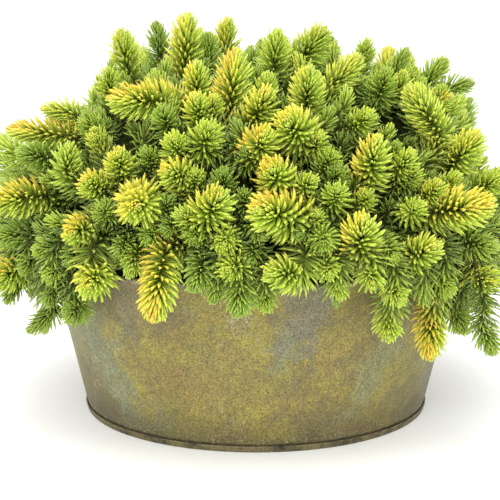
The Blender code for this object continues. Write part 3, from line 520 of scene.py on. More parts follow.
class LeafFinish(Finish):
    """Fleshy leaves: gold to lime heads with orange tips on the side towards the light, and deep green
    below.

    The gold and orange on the side towards the light are partly the leaves' own ripened colour and partly
    painted light. A span is where something comes in or goes: by the head's gold, along the leaf, by how
    far the leaf faces the light, or by age, which is the distance down the shoot in head lengths. A light
    is a slope
    and a start: the light by draw is a random tone for each leaf, and the painted shade along the leaf
    darkens it towards its base.
    """

    name = "stonecrop_leaf"
    lime_by_gold: Span = (0.0, 0.5)
    ripe_by_gold: Span = (0.30, 1.0)
    ripe_along: Span = (0.25, 1.05)
    # the side towards the light: partly the leaves' own ripened colour, partly painted light
    ripe_by_sun: Span = (0.30, 0.80)
    ripe_in_shade: float = 0.12
    olive_by_gold: float = 0.7
    old_by_age: Span = (0.70, 1.60)
    orange_along: Span = (0.45, 1.0)
    orange_by_sun: Span = (0.50, 0.92)
    orange_gone: Span = (0.8, 1.4)
    orange_by_blush: float = 1.25
    light_by_draw: Span = (0.28, 0.78)
    # painted shade: each leaf darker towards its base, where the leaves round it shade it
    light_along: Span = (0.12, 0.90)

    def lay(self) -> None:
        """Lays the colours by the numbers that the leaves carry, then the flesh and the fine grain."""
        graph = self.graph
        age, gold, blush = (self.attribute(name) for name in ("age", "gold", "blush"))
        along, sun, draw = (self.attribute(name) for name in ("along", "sun", "draw"))
        fresh = graph.blend(graph.fade(gold, *self.lime_by_gold), Tone.LEAF_GREEN, Tone.LEAF_LIME)
        # gold mostly on the side towards the light and little on its shaded side: partly ripened colour,
        # partly painted light
        ripe_and_lit_share = graph.line(graph.fade(sun, *self.ripe_by_sun), 1 - self.ripe_in_shade, self.ripe_in_shade)
        ripe = graph.times(graph.fade(gold, *self.ripe_by_gold), graph.fade(along, *self.ripe_along), ripe_and_lit_share)
        fresh = graph.blend(ripe, fresh, Tone.LEAF_GOLD)
        old = graph.blend(graph.times(gold, self.olive_by_gold), Tone.LEAF_DEEP, Tone.LEAF_OLIVE)
        self.body = graph.blend(graph.fade(age, *self.old_by_age), fresh, old)
        tips = graph.times(graph.fade(along, *self.orange_along), graph.fade(sun, *self.orange_by_sun))
        young = graph.rest(graph.fade(age, *self.orange_gone))
        self.paint(graph.times(tips, graph.times(blush, self.orange_by_blush), young), Tone.LEAF_ORANGE)
        # painted shade towards each leaf's base, times a random tone for each leaf
        self.shade(graph.times(graph.line(draw, *self.light_by_draw), graph.line(along, *self.light_along)))
        self.feed(Base_Color=self.body, Roughness=0.42, Specular_IOR_Level=0.42)
        self.feed(Subsurface_Weight=0.32, Subsurface_Radius=(0.6, 1.0, 0.25), Subsurface_Scale=0.0040)
        grain = self.effect(self.effects.speckle, Scale=900.0, Share=0.0)["Grain"]
        self.bump(grain, strength=0.12, distance=0.0002)


class StemFinish(Finish):
    """Thin purple-brown stems."""

    name = "stonecrop_stem"

    def lay(self) -> None:
        """Lays a cloud of two browns."""
        cloud = self.effect(self.effects.mottling, Scale=160.0, Spread=0.5, Edge=0.2)["Cloud"]
        self.body = self.graph.blend(cloud, Tone.STEM, Tone.STEM.linear(light=0.4))
        self.feed(Base_Color=self.body, Roughness=0.6)
        self.bump(cloud, strength=0.4, distance=0.0004)


class CoreFinish(Finish):
    """The old growth deep inside a bunch, darkened with painted shade."""

    name = "shaded_growth"

    def lay(self) -> None:
        """Lays dark and less dark blotches of painted shade."""
        cloud = self.effect(self.effects.mottling, Scale=240.0, Spread=0.52, Edge=0.10)
        # painted shade: a dark core where the inside of a bunch lies in shadow
        self.body = self.graph.blend(cloud["Mask"], Tone.SHADE.linear(light=0.3), Tone.SHADE)
        self.feed(Base_Color=self.body, Roughness=0.9, Specular_IOR_Level=0.05)
        self.bump(cloud["Cloud"], strength=1.0, distance=0.004)


class SoilFinish(Finish):
    """Crumbly dark potting soil."""

    name = "potting_soil_crumb"

    def lay(self) -> None:
        """Lays the soil's two browns and its crumbs."""
        cloud = self.effect(self.effects.mottling, Scale=120.0, Spread=0.5, Edge=0.2)["Cloud"]
        self.body = self.graph.blend(cloud, Tone.SOIL, Tone.SHADE)
        self.paint(self.effect(self.effects.speckle, Scale=500.0, Share=0.08)["Specks"], Tone.STEM)
        self.feed(Base_Color=self.body, Roughness=0.95)
        self.bump(cloud, strength=1.0, distance=0.003)


class Blotches(NamedTuple):
    """Cloudy patches of a tone: the shift of their pattern, its scale, the spread and edge of the mask."""

    shift: Triple
    scale: float
    spread: float
    edge: float
    strength: float
    tone: Tone


class Veins(NamedTuple):
    """Thin wandering lines of a tone: the shift of their pattern, its scale and their width in it."""

    shift: Triple
    scale: float
    width: float
    strength: float
    tone: Tone


class Spots(NamedTuple):
    """Small dark spots: their pattern's scale, detail and roughness, and the level where they show."""

    pattern: Triple
    edge: Span
    strength: float


@dataclass(frozen=True)
class Wash:
    """A patch of another colour that runs down the tub's wall, in radians round it and metres up it.

    The patch's middle lies at turn + slope * height, and it is half + spread * height wide to each side.
    """

    turn: float
    slope: float
    half: float
    spread: float
    low: float
    high: float
    strength: float
    tone: Tone
    least: float = 0.01
    side_edge: Span = (0.3, 1.4)
    end_edge: float = 0.010

    def mask(self, graph: Graph, around: Any, height: Any) -> NodeSocket:
        """Where the patch lies.

        Args:
            graph: The material's graph.
            around: The turn round the wall, from the front to the right, with ragged edges.
            height: The height up the wall.

        Returns:
            The patch's strength at each place.
        """
        wide = graph.math("MAXIMUM", graph.line(height, self.spread, self.half), self.least)
        off = graph.math("ABSOLUTE", graph.minus(around, graph.line(height, self.slope, self.turn)))
        outside = graph.fade(graph.math("DIVIDE", off, wide), *self.side_edge)
        above = graph.fade(height, self.low - self.end_edge, self.low + self.end_edge)
        below = graph.fade(height, self.high + self.end_edge, self.high - self.end_edge)
        return graph.times(graph.minus(self.strength, outside, clamp=True), graph.times(above, below))


class PatinaFinish(Finish):
    """The tub's aged metal: olive and gold bloom, blue-grey washes, grain, pits, dark scratches, a darker
    foot and a pale rim top.

    Patterns are scale, detail and roughness. The ragged numbers say how far a ragged noise moves the sides
    and ends of the washes and the edge of the darker foot. Heights are metres up the wall between which
    something fades, and the light and the roughness by grain are a slope and a start.
    """

    name = "aged_metal_patina"
    ragged_pattern: Triple = (55.0, 6.0, 0.65)
    ragged_sides: float = 0.55
    ragged_ends: float = 0.080
    ragged_grime: float = 0.030
    blotches: tuple[Blotches, ...] = (
        Blotches((0.0, 0.0, 0.0), 15.0, 0.49, 0.10, 0.80, Tone.PATINA_YELLOW),
        Blotches((0.3, 0.1, 0.2), 27.0, 0.54, 0.07, 0.70, Tone.PATINA_OCHRE),
        Blotches((0.7, 0.4, 0.9), 32.0, 0.53, 0.07, 0.75, Tone.PATINA_EARTH),
        Blotches((0.5, 0.8, 0.1), 24.0, 0.59, 0.06, 0.60, Tone.PATINA_BLUE),
    )
    washes: tuple[Wash, ...] = (
        Wash(-1.30, 0.0, 0.42, 0.0, 0.050, 0.130, 0.55, Tone.PATINA_BLUE),
        Wash(-1.02, 0.0, 0.20, 0.0, -0.010, 0.050, 0.75, Tone.PATINA_EARTH),
        Wash(-0.73, -2.9, 0.13, 0.0, 0.006, 0.090, 0.85, Tone.PATINA_BLUE),
        Wash(0.22, 0.0, -0.17, 3.2, 0.050, 0.130, 0.70, Tone.PATINA_SLATE),
        Wash(-0.62, 0.0, -0.15, 2.6, 0.070, 0.130, 0.50, Tone.PATINA_SLATE),
        Wash(0.47, 3.0, 0.11, 0.0, 0.020, 0.085, 0.60, Tone.PATINA_BLUE),
        Wash(1.30, 0.0, 0.32, 0.0, -0.010, 0.130, 0.60, Tone.PATINA_SLATE),
        Wash(-0.40, 0.0, 0.22, 0.0, 0.030, 0.056, 0.70, Tone.PATINA_OCHRE),
        Wash(-0.12, 0.0, 0.26, 0.0, 0.014, 0.070, 0.45, Tone.PATINA_YELLOW),
        Wash(2.90, 2.0, 0.30, 0.0, 0.010, 0.100, 0.60, Tone.PATINA_BLUE),
        Wash(1.95, -2.0, 0.16, 0.0, 0.004, 0.130, 0.60, Tone.PATINA_BLUE),
        Wash(-2.10, 1.0, 0.20, 0.0, 0.020, 0.120, 0.60, Tone.PATINA_OCHRE),
    )
    veins: tuple[Veins, ...] = (
        Veins((0.2, 0.6, 0.4), 30.0, 0.012, 0.40, Tone.SALT),
        Veins((0.9, 0.3, 0.5), 85.0, 0.014, 0.50, Tone.GRIME),
    )
    vein_reach: float = 0.4
    vein_edge: Span = (0.50, 0.62)
    spots: tuple[Spots, ...] = (
        Spots((520.0, 3.0, 0.7), (0.585, 0.66), 0.60),
        Spots((190.0, 6.0, 0.75), (0.64, 0.70), 0.65),
    )
    grime_height: Span = (0.004, 0.034)
    crowded_height: Span = (0.006, 0.030)
    crowding: float = 0.06
    salt_height: Span = (0.006, 0.014)
    seam_height: Span = (0.0056, 0.0066)
    bare_height: Span = (0.1165, 0.1190)
    coarse_pattern: Triple = (120.0, 9.0, 0.78)
    coarse_edge: Span = (0.38, 0.62)
    grain_pattern: Triple = (900.0, 4.0, 0.8)
    grain_edge: Span = (0.36, 0.64)
    light_by_grain: Span = (1.20, 0.52)
    roughness_by_grain: Span = (0.20, 0.46)
    relief_by_grain: float = 0.30

    def lay(self) -> None:
        """Lays the bloom, the washes, the wear and at last the grain."""
        graph = self.graph
        parts = graph.add("ShaderNodeSeparateXYZ", Vector=self.place).outputs
        ragged = graph.minus(graph.noise(self.place, *self.ragged_pattern), 0.5)
        turn = graph.math("ARCTAN2", parts["X"], graph.times(parts["Y"], -1.0))
        self.body = Tone.PATINA_OLIVE
        self.lay_bloom()
        around = graph.line(ragged, self.ragged_sides, turn)
        level = graph.line(ragged, self.ragged_ends, parts["Z"])
        for wash in self.washes:
            self.body = graph.blend(wash.mask(graph, around, level), self.body, wash.tone)
        self.lay_veins()
        # darker towards the foot of the wall, in the grime tone
        foot_level = graph.line(ragged, self.ragged_grime, parts["Z"])
        self.paint(graph.rest(graph.fade(foot_level, *self.grime_height)), Tone.GRIME, strength=0.60)
        self.lay_wear(parts["Z"])
        grain = graph.fade(graph.noise(self.place, *self.grain_pattern), *self.grain_edge)
        self.shade(graph.line(grain, *self.light_by_grain))
        self.feed(Base_Color=self.body, Metallic=0.20)
        self.feed(Roughness=graph.line(grain, *self.roughness_by_grain))
        relief = graph.plus(ragged, graph.times(grain, self.relief_by_grain))
        self.bump(relief, strength=0.35, distance=0.0012)

    def lay_bloom(self) -> None:
        """Lays the cloudy patches."""
        for shift, scale, spread, edge, strength, tone in self.blotches:
            place = self.graph.vector("ADD", self.place, shift)
            values = {"Place": place, "Scale": scale, "Spread": spread, "Edge": edge}
            self.paint(self.effect(self.effects.mottling, **values)["Mask"], tone, strength)

    def lay_veins(self) -> None:
        """Lays the pale veins and the dark scratches, each where a wider pattern lets it show."""
        graph = self.graph
        for shift, scale, width, strength, tone in self.veins:
            place = graph.vector("ADD", self.place, shift)
            pattern = graph.noise(place, scale, detail=5.0, rough=0.6)
            vein = graph.rest(graph.fade(graph.math("ABSOLUTE", graph.minus(pattern, 0.5)), 0.0, width))
            wider = graph.noise(place, scale * self.vein_reach, detail=2.0, rough=0.5)
            self.paint(graph.times(vein, graph.fade(wider, *self.vein_edge)), tone, strength)

    def lay_wear(self, height: NodeSocket) -> None:
        """Lays spots, which crowd at the foot, salt, the foot's dark seam, the paler top of the rim and
        dull patches.

        Args:
            height: The height up the wall.
        """
        graph = self.graph
        crowded = graph.times(graph.rest(graph.fade(height, *self.crowded_height)), self.crowding)
        for pattern, edge, strength in self.spots:
            spots = graph.fade(graph.plus(graph.noise(self.place, *pattern), crowded), *edge)
            self.paint(spots, Tone.GRIME, strength)
        salt = self.effect(self.effects.speckle, Scale=700.0, Share=0.30)["Specks"]
        self.paint(graph.times(salt, graph.rest(graph.fade(height, *self.salt_height))), Tone.SALT)
        self.paint(graph.rest(graph.fade(height, *self.seam_height)), Tone.FOOT_DARK, strength=0.85)
        # paler along the top of the rolled rim
        self.paint(graph.fade(height, *self.bare_height), Tone.BARE_EDGE, strength=0.8)
        coarse = graph.fade(graph.noise(self.place, *self.coarse_pattern), *self.coarse_edge)
        self.paint(coarse, Tone.PATINA_EARTH, strength=0.55)


class FootFinish(Finish):
    """The dark, rubbed and grainy metal of the foot band."""

    name = "foot_band_metal"
    grain_pattern: Triple = (700.0, 4.0, 0.75)
    grain_edge: Span = (0.36, 0.64)
    light_by_grain: Span = (0.70, 0.60)

    def lay(self) -> None:
        """Lays light and dark blotches and the grain."""
        cloud = self.effect(self.effects.mottling, Scale=60.0, Spread=0.55, Edge=0.12)
        self.body = self.graph.blend(cloud["Mask"], Tone.FOOT, Tone.FOOT_DARK)
        grain = self.graph.fade(self.graph.noise(self.place, *self.grain_pattern), *self.grain_edge)
        self.shade(self.graph.line(grain, *self.light_by_grain))
        self.feed(Base_Color=self.body, Roughness=0.55, Metallic=0.20)
        self.bump(cloud["Cloud"], strength=0.5, distance=0.0008)


class FloorFinish(Finish):
    """A plain pale studio floor."""

    name = "studio_floor"

    def lay(self) -> None:
        """Sets the floor's one tone and its faint glow."""
        self.feed(Base_Color=Tone.FLOOR, Roughness=0.9, Specular_IOR_Level=0.1)
        self.feed(Emission_Color=Tone.FLOOR, Emission_Strength=0.11)


def show(name: str, mesh: Mesh, *finishes: Material) -> Object:
    """A new object at the origin, with its materials.

    Args:
        name: The object's name.
        mesh: Its mesh, in place.
        finishes: Its materials, or none where the mesh has them already.

    Returns:
        The object.
    """
    for finish in finishes:
        mesh.materials.append(finish)
    made = bpy.data.objects.new(name, mesh)
    bpy.context.scene.collection.objects.link(made)
    return made


def carry(piece: Object, slot: str, *nodes: str) -> None:
    """Rides a piece on the body and hides the nodes that it stands for.

    Args:
        piece: The piece.
        slot: The name of its slot, which is not used.
        nodes: The frame's nodes that it replaces.
    """
    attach(piece, "root")
    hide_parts(*nodes)
    piece.data.calc_loop_triangles()
    LOG.info("%s: %d triangles for %s", piece.name, len(piece.data.loop_triangles), ", ".join(nodes))


def skin(bm: bmesh.types.BMesh, rings: list[list[Any]], loop: bool = False) -> None:
    """Joins rings of points into a tube, which a ring of one repeated point closes.

    Args:
        bm: The mesh being built.
        rings: The rings in order, each with as many points.
        loop: Whether the last ring joins the first.
    """
    for low, high in zip(rings, rings[1:] + rings[:1] if loop else rings[1:]):
        for step in range(len(low)):
            after = (step + 1) % len(low)
            bm.faces.new(list(dict.fromkeys((low[step], low[after], high[after], high[step]))))


def mesh_from(bm: bmesh.types.BMesh, name: str) -> Mesh:
    """A smooth mesh whose faces point out.

    Args:
        bm: The mesh being built, which is used up.
        name: The new mesh's name.

    Returns:
        The mesh.
    """
    bmesh.ops.recalc_face_normals(bm, faces=bm.faces[:])
    mesh = bpy.data.meshes.new(name)
    bm.to_mesh(mesh)
    bm.free()
    mesh.shade_smooth()
    return mesh


@dataclass(frozen=True)
class Tub:
    """The tub of thin sheet: a tapered wall with a rolled rim, and a base crimped round its foot.

    dents are pairs of how close the dents lie and how much they count. lower_edge has how far in and how
    high the points of the base's rounded edge lie, and lip has how many sheets out and how far down the
    points of the band's upper edge lie.
    """

    height: float = 0.120
    rim_radius: float = 0.1525
    foot_radius: float = 0.1225
    sheet: float = 0.0012
    bead_radius: float = 0.0026
    bead_start: float = math.radians(-85)
    bead_sweep: float = math.radians(290)
    bead_steps: int = 14
    band_height: float = 0.0046
    gap: float = 0.0003
    around: int = 180
    rows: int = 26
    dent: float = 0.0005
    dents: tuple[Span, ...] = ((2.3, 0.7), (6.1, 0.3))
    dent_stretch: float = 9
    dent_margin: float = 0.02
    lower_edge: tuple[Span, ...] = ((0.0012, 0), (0.0004, 0.0002), (0, 0.0009))
    lip: tuple[Span, ...] = ((0.8, 0.0007), (0.55, 0.0001), (0.2, 0), (0, 0.0004))

    def wall_radius(self, height: float) -> float:
        """The outer radius of the wall at a height."""
        foot = self.foot_radius - self.sheet - self.gap
        return foot + (self.rim_radius - self.bead_radius - foot) * height / self.height

    def dented(self, angle: float, height: float) -> float:
        """How far the hammered sheet lies in or out of a true cone.

        Args:
            angle: The angle round the tub.
            height: The height up it.

        Returns:
            The distance outward.
        """
        around = Vector((math.cos(angle), math.sin(angle), height * self.dent_stretch))
        soft = sum(noise.noise(around * scale) * share for scale, share in self.dents)
        held = min(height / self.dent_margin, (self.height - height) / self.dent_margin, 1.0)
        return self.dent * soft * max(held, 0.0)

    def lathe(self, name: str, outline: list[Span], closed: bool) -> Mesh:
        """A turned solid whose wall has soft dents.

        Args:
            name: The mesh's name.
            outline: Radius and height pairs round the section.
            closed: Whether the section is a loop, or else ends on the axis.

        Returns:
            The mesh.
        """
        bm = bmesh.new()
        rings = []
        for radius, height in outline:
            if radius == 0:
                rings.append([bm.verts.new((0, 0, height))] * self.around)
                continue
            ring = []
            for step in range(self.around):
                angle = 2 * math.pi * step / self.around
                reach = radius + (self.dented(angle, height) if closed else 0.0)
                ring.append(bm.verts.new((reach * math.cos(angle), reach * math.sin(angle), height)))
            rings.append(ring)
        skin(bm, rings, closed)
        return mesh_from(bm, name)

    def wall_outline(self) -> list[Span]:
        """The wall's section: up the outside, round the rolled rim, and down the inside.

        Returns:
            Radius and height pairs.
        """
        low = self.sheet + self.gap
        neck = self.height - 2 * self.bead_radius
        heights = [low + (neck - low) * row / self.rows for row in range(self.rows + 1)]
        outline = [(self.wall_radius(height), height) for height in heights]
        across, rise = self.rim_radius - self.bead_radius, self.height - self.bead_radius
        for step in range(self.bead_steps + 1):
            angle = self.bead_start + self.bead_sweep * step / self.bead_steps
            place = (across + self.bead_radius * math.cos(angle), rise + self.bead_radius * math.sin(angle))
            outline.append(place)
        outline += [(self.wall_radius(height) - self.sheet, height) for height in heights[::-1]]
        return outline

    def base_outline(self) -> list[Span]:
        """The base's section: a flat disc whose rounded edge is turned up round the wall's foot.

        Returns:
            Radius and height pairs.
        """
        inner_low = self.wall_radius(self.sheet) + self.gap
        inner_high = self.wall_radius(self.band_height) + self.gap
        outline = [(0, 0)]
        outline += [(self.foot_radius - inward, height) for inward, height in self.lower_edge]
        outline.append((self.foot_radius, self.band_height / 2))
        outline += [(inner_high + self.sheet * out, self.band_height - down) for out, down in self.lip]
        return outline + [(inner_low, self.sheet), (0, self.sheet)]

    def build(self, patina: Material, foot: Material) -> None:
        """Makes and dresses the wall and the base.

        Args:
            patina: The wall's finish.
            foot: The base's finish.
        """
        wall = show("tub_wall_sheet", self.lathe("tub_wall_sheet", self.wall_outline(), True), patina)
        carry(wall, "aged_tub_metal", "tub_wall")
        base = show("tub_foot_band", self.lathe("tub_foot_band", self.base_outline(), False), foot)
        carry(base, "tub_foot_metal", "tub_base")


@dataclass(frozen=True)
class Mound:
    """The rounded shape that the shoot heads lie on, and the lower dome that the bunches lie on."""

    base: float = 0.120
    reach: float = 0.190
    rise: float = 0.146
    skirt: float = 0.055
    squareness: float = 2.4
    slope_step: float = 0.0005
    bunch_reach: float = 0.160
    bunch_rise: float = 0.118
    bunch_lift: float = 0.004
    bunch_spread: float = math.radians(83)

    @property
    def heart(self) -> Vector:
        """The middle of the rim, which the mound is measured from."""
        return Vector((0, 0, self.base))

    def level(self, point: Vector) -> float:
        """How far out a point lies.

        Args:
            point: The point.

        Returns:
            1 on the mound's surface, less inside.
        """
        height = point[2] - self.base
        rise = self.rise if height > 0 else self.skirt
        out = math.hypot(point[0], point[1]) / self.reach
        return out**self.squareness + (abs(height) / rise) ** self.squareness

    def towards(self, azimuth: float, polar: float) -> Vector:
        """The point of the surface in a direction from the heart.

        Args:
            azimuth: The angle round the upright axis.
            polar: The angle from straight up.

        Returns:
            The point.
        """
        flat = math.sin(polar)
        aim = Vector((flat * math.cos(azimuth), flat * math.sin(azimuth), math.cos(polar)))
        return self.heart + aim * self.level(self.heart + aim) ** (-1 / self.squareness)

    def outward(self, point: Vector) -> Vector:
        """The way out of the mound at a point.

        Args:
            point: The point.

        Returns:
            The direction.
        """
        here = self.level(point)
        axes = (Vector(axis) * self.slope_step for axis in ((1, 0, 0), (0, 1, 0), (0, 0, 1)))
        return Vector([self.level(point + axis) - here for axis in axes]).normalized()

    def bunch_middle(self, place: Vector) -> Vector:
        """The point of the bunches' dome on the line from the heart to a place.

        Args:
            place: The place.

        Returns:
            The point.
        """
        aim = place - self.heart
        out = math.hypot(aim.x, aim.y)
        aim.z = max(aim.z, out / math.tan(self.bunch_spread))
        level = (out / self.bunch_reach) ** self.squareness + (aim.z / self.bunch_rise) ** self.squareness
        return self.heart + aim * level ** (-1 / self.squareness) + UP * self.bunch_lift


@dataclass(frozen=True)
class Sight:
    """The place that the object is seen from, and the march along its rays."""

    distance: float = 1.26
    tilt: float = math.radians(11.9)
    aside: float = -0.0042
    target_height: float = 0.1117
    lens: float = 126.3
    march: float = 0.001
    margin: float = 1.1

    def axes(self) -> tuple[Vector, Vector, Vector, Vector]:
        """The eye, and the right, up and forward directions.

        Returns:
            The four in that order.
        """
        forward = Vector((0, math.cos(self.tilt), -math.sin(self.tilt)))
        upward = Vector((0, math.sin(self.tilt), math.cos(self.tilt)))
        eye = Vector((self.aside, 0, self.target_height)) - forward * self.distance
        return eye, Vector((1, 0, 0)), upward, forward

    def on_mound(self, mound: Mound, across: float, rise: float) -> Vector:
        """The place on the mound that is seen at a point of the view, or the nearest one beside it.

        Args:
            mound: The mound.
            across: How far right of the middle of the rim the point is seen.
            rise: How far above it.

        Returns:
            The place.
        """
        eye, right, upward, _ = self.axes()
        ray = (mound.heart + right * across + upward * rise - eye).normalized()
        best, best_level = mound.heart, math.inf
        for step in range(round(2 * mound.reach / self.march)):
            point = eye + ray * (self.distance - mound.reach * self.margin + step * self.march)
            level = mound.level(point)
            if level < best_level:
                best, best_level = point, level
            if level <= 1:
                break
        return best

    def sees(self, mound: Mound, point: Vector) -> Span:
        """Where a point is seen.

        Args:
            mound: The mound.
            point: The point.

        Returns:
            How far it is seen across and up from the middle of the rim, in metres.
        """
        eye, right, upward, forward = self.axes()
        middle, gap = mound.heart - eye, point - eye
        nearer = middle.dot(forward) / gap.dot(forward)
        return gap.dot(right) * nearer - middle.dot(right), gap.dot(upward) * nearer - middle.dot(upward)


LINE_VALUES = ("leaves", "leafy", "head", "scale", "gold", "blush")


@dataclass(frozen=True)
class Shoot:
    """A leafy shoot: the middle of its head, its way, and the size, number and colour of its leaves."""

    centre: Vector
    direction: Vector
    length: float
    scale: float
    gold: float
    blush: float
    leafy: float
    leaves: int

    @property
    def root(self) -> Vector:
        """The lower end of the head."""
        return self.centre - self.direction * self.length / 2

    @property
    def tip(self) -> Vector:
        """The upper end of the head."""
        return self.centre + self.direction * self.length / 2

    @property
    def values(self) -> tuple[float, ...]:
        """What the leaf tree reads from the shoot's line, in the order of LINE_VALUES."""
        return self.leaves, self.leafy, self.length, self.scale, self.gold, self.blush


@dataclass(frozen=True)
class LeafShape:
    """One narrow, fleshy, blunt leaf that curls up towards the shoot's tip.

    stations are pairs of the share of the leaf's length and how full the leaf is there.
    """

    length: float = 0.0160
    width: float = 0.0023
    thickness: float = 0.0017
    curl: float = math.radians(34)
    sides: int = 3
    stations: tuple[Span, ...] = ((0.0, 0.60), (0.45, 1.0), (0.90, 0.78))

    def build(self) -> Mesh:
        """Makes the leaf along +Z, with how far along it each point lies.

        Returns:
            The mesh.
        """
        bm = bmesh.new()
        mark = bm.verts.layers.float.new("along")
        rings = []
        for share, full in self.stations:
            ring = []
            for side in range(self.sides):
                angle = 2 * math.pi * side / self.sides
                deep = self.across(share) * (math.cos(angle) * self.thickness / 2 * full)
                wide = Vector((0, math.sin(angle) * self.width / 2 * full, 0))
                ring.append(bm.verts.new(self.line(share) + deep + wide))
                ring[-1][mark] = share
            rings.append(ring)
        tip = bm.verts.new(self.line(1.0))
        tip[mark] = 1.0
        skin(bm, [*rings, [tip] * self.sides])
        bm.faces.new(rings[0][::-1])
        return mesh_from(bm, "stonecrop_leaf")

    def line(self, share: float) -> Vector:
        """The leaf's middle line at a share of its length."""
        bend = self.curl * share
        return Vector((1 - math.cos(bend), 0, math.sin(bend))) * self.length / self.curl

    def across(self, share: float) -> Vector:
        """The way through the leaf's thickness there."""
        bend = self.curl * share
        return Vector((math.cos(bend), 0, -math.sin(bend)))


@dataclass(frozen=True)
class LeafTree:
    """The geometry tree that grows leaves in a golden-angle spiral round each shoot's line.

    Its input mesh holds one line for each shoot, from the tip down, whose points carry LINE_VALUES. Each
    field here is an input of the tree too. Down the shoot the leaves lean out from tip_lean to full_lean
    and grow from tip_size to their full size. A green leaf has green_width of its shape's width, and gold
    adds gold_width.
    """

    stem_radius: float = 0.0013
    golden_angle: float = GOLDEN_ANGLE
    shoot_phase: float = 1.7
    tip_lean: float = math.radians(12)
    full_lean: float = math.radians(86)
    lean_distance: float = 0.015
    lean_scatter: float = 0.28
    tip_size: float = 0.40
    size_distance: float = 0.006
    least_size: float = 0.90
    size_scatter: float = 0.18
    slimming: float = 0.7
    green_width: float = 0.80
    gold_width: float = 0.28
    crowding: float = 1.5
    old_distance: float = 0.016
    seed: int = 11

    def values(self) -> dict[str, float]:
        """The fields under the names of the tree's inputs."""
        return {name.replace("_", " ").title(): value for name, value in asdict(self).items()}

    def build(self) -> NodeTree:
        """Makes the tree.

        Returns:
            The tree.
        """
        tree = bpy.data.node_groups.new("leaves_round_shoots", "GeometryNodeTree")
        tree.is_modifier = True
        kinds = {"Shoots": "Geometry", "Leaf": "Object", "Old Leaf": "Object", "Core": "Object"}
        kinds |= {f"{part} Finish": "Material" for part in ("Leaf", "Stem", "Core")}
        kinds |= {name: type(value).__name__.capitalize() for name, value in self.values().items()}
        for name, kind in kinds.items():
            tree.interface.new_socket(name=name, in_out="INPUT", socket_type="NodeSocket" + kind)
        tree.interface.new_socket(name="Bunch", in_out="OUTPUT", socket_type="NodeSocketGeometry")
        graph = Graph(tree)
        given = graph.add("NodeGroupInput").outputs
        lines = graph.out("GeometryNodeMeshToCurve", Mesh=given["Shoots"])
        size = {"Resolution": 3, "Radius": given["Stem Radius"]}
        ring = graph.out("GeometryNodeCurvePrimitiveCircle", {"mode": "RADIUS"}, **size)
        parts = {
            "Leaf": self.leaves(graph, given, lines),
            "Stem": graph.out("GeometryNodeCurveToMesh", Curve=lines, Profile_Curve=ring, Fill_Caps=True),
            "Core": graph.add("GeometryNodeObjectInfo", Object=given["Core"]).outputs["Geometry"],
        }
        joined = graph.add("GeometryNodeJoinGeometry")
        for name, part in parts.items():
            dressed = graph.out("GeometryNodeSetMaterial", Geometry=part, Material=given[f"{name} Finish"])
            tree.links.new(dressed, joined.inputs[0])
        smooth = graph.out("GeometryNodeSetShadeSmooth", Geometry=joined.outputs[0])
        graph.feed(graph.add("NodeGroupOutput").inputs[0], smooth)
        return tree

    def leaves(self, graph: Graph, given: Any, lines: NodeSocket) -> NodeSocket:
        """Sets leaves round the lines, with their age, draw and how far they face the light, for the finish
        to read.

        Args:
            graph: The tree's graph.
            given: What the tree is given.
            lines: The shoots' lines.

        Returns:
            The leaves.
        """
        count = graph.read("leaves")
        rows = graph.out("GeometryNodeResampleCurve", {"mode": "COUNT"}, Curve=lines, Count=count)
        place = graph.add("GeometryNodeCurveOfPoint").outputs
        order, line = place["Index in Curve"], place["Curve Index"]
        share = graph.math("POWER", graph.math("DIVIDE", order, count), given["Crowding"])
        distance = graph.times(share, graph.read("leafy"))
        where = {"Curves": lines, "Length": distance, "Curve_Index": line}
        by_length = {"mode": "LENGTH", "use_all_curves": False}
        sample = graph.add("GeometryNodeSampleCurve", by_length, **where).outputs
        chance = graph.out("FunctionNodeRandomValue", {"data_type": "FLOAT"}, Seed=given["Seed"])
        phase = graph.times(line, given["Shoot Phase"])
        turn = graph.plus(graph.times(order, given["Golden Angle"]), phase)
        spin = {"Vector": sample["Normal"], "Axis": sample["Tangent"], "Angle": turn}
        outward = graph.out("ShaderNodeVectorRotate", {"rotation_type": "AXIS_ANGLE"}, **spin)
        turned = self.turned(graph, given, sample["Tangent"], outward, distance, chance)
        stretch = self.stretch(graph, given, distance, chance)
        # how far each leaf faces the light, for the finish's gold and orange side, which is partly painted
        # light
        ripe_and_lit_share = graph.line(graph.vector("DOT_PRODUCT", outward, RIPE_AND_LIT_SIDE), 0.5, 0.5)
        age = graph.math("DIVIDE", distance, graph.read("head"))
        for name, value in (("age", age), ("draw", chance), ("sun", ripe_and_lit_share)):
            rows = graph.mark(rows, name, value)
        rows = graph.out("GeometryNodeSetPosition", Geometry=rows, Position=sample["Position"])
        aged = graph.math("GREATER_THAN", distance, given["Old Distance"])
        sets = graph.add("GeometryNodeJoinGeometry")
        for label, chosen in (("Old Leaf", aged), ("Leaf", graph.rest(aged))):
            leaf = graph.add("GeometryNodeObjectInfo", Object=given[label]).outputs["Geometry"]
            placing = {"Points": rows, "Selection": chosen, "Rotation": turned, "Scale": stretch}
            placed = graph.out("GeometryNodeInstanceOnPoints", Instance=leaf, **placing)
            graph.tree.links.new(placed, sets.inputs[0])
        return graph.out("GeometryNodeRealizeInstances", Geometry=sets.outputs[0])

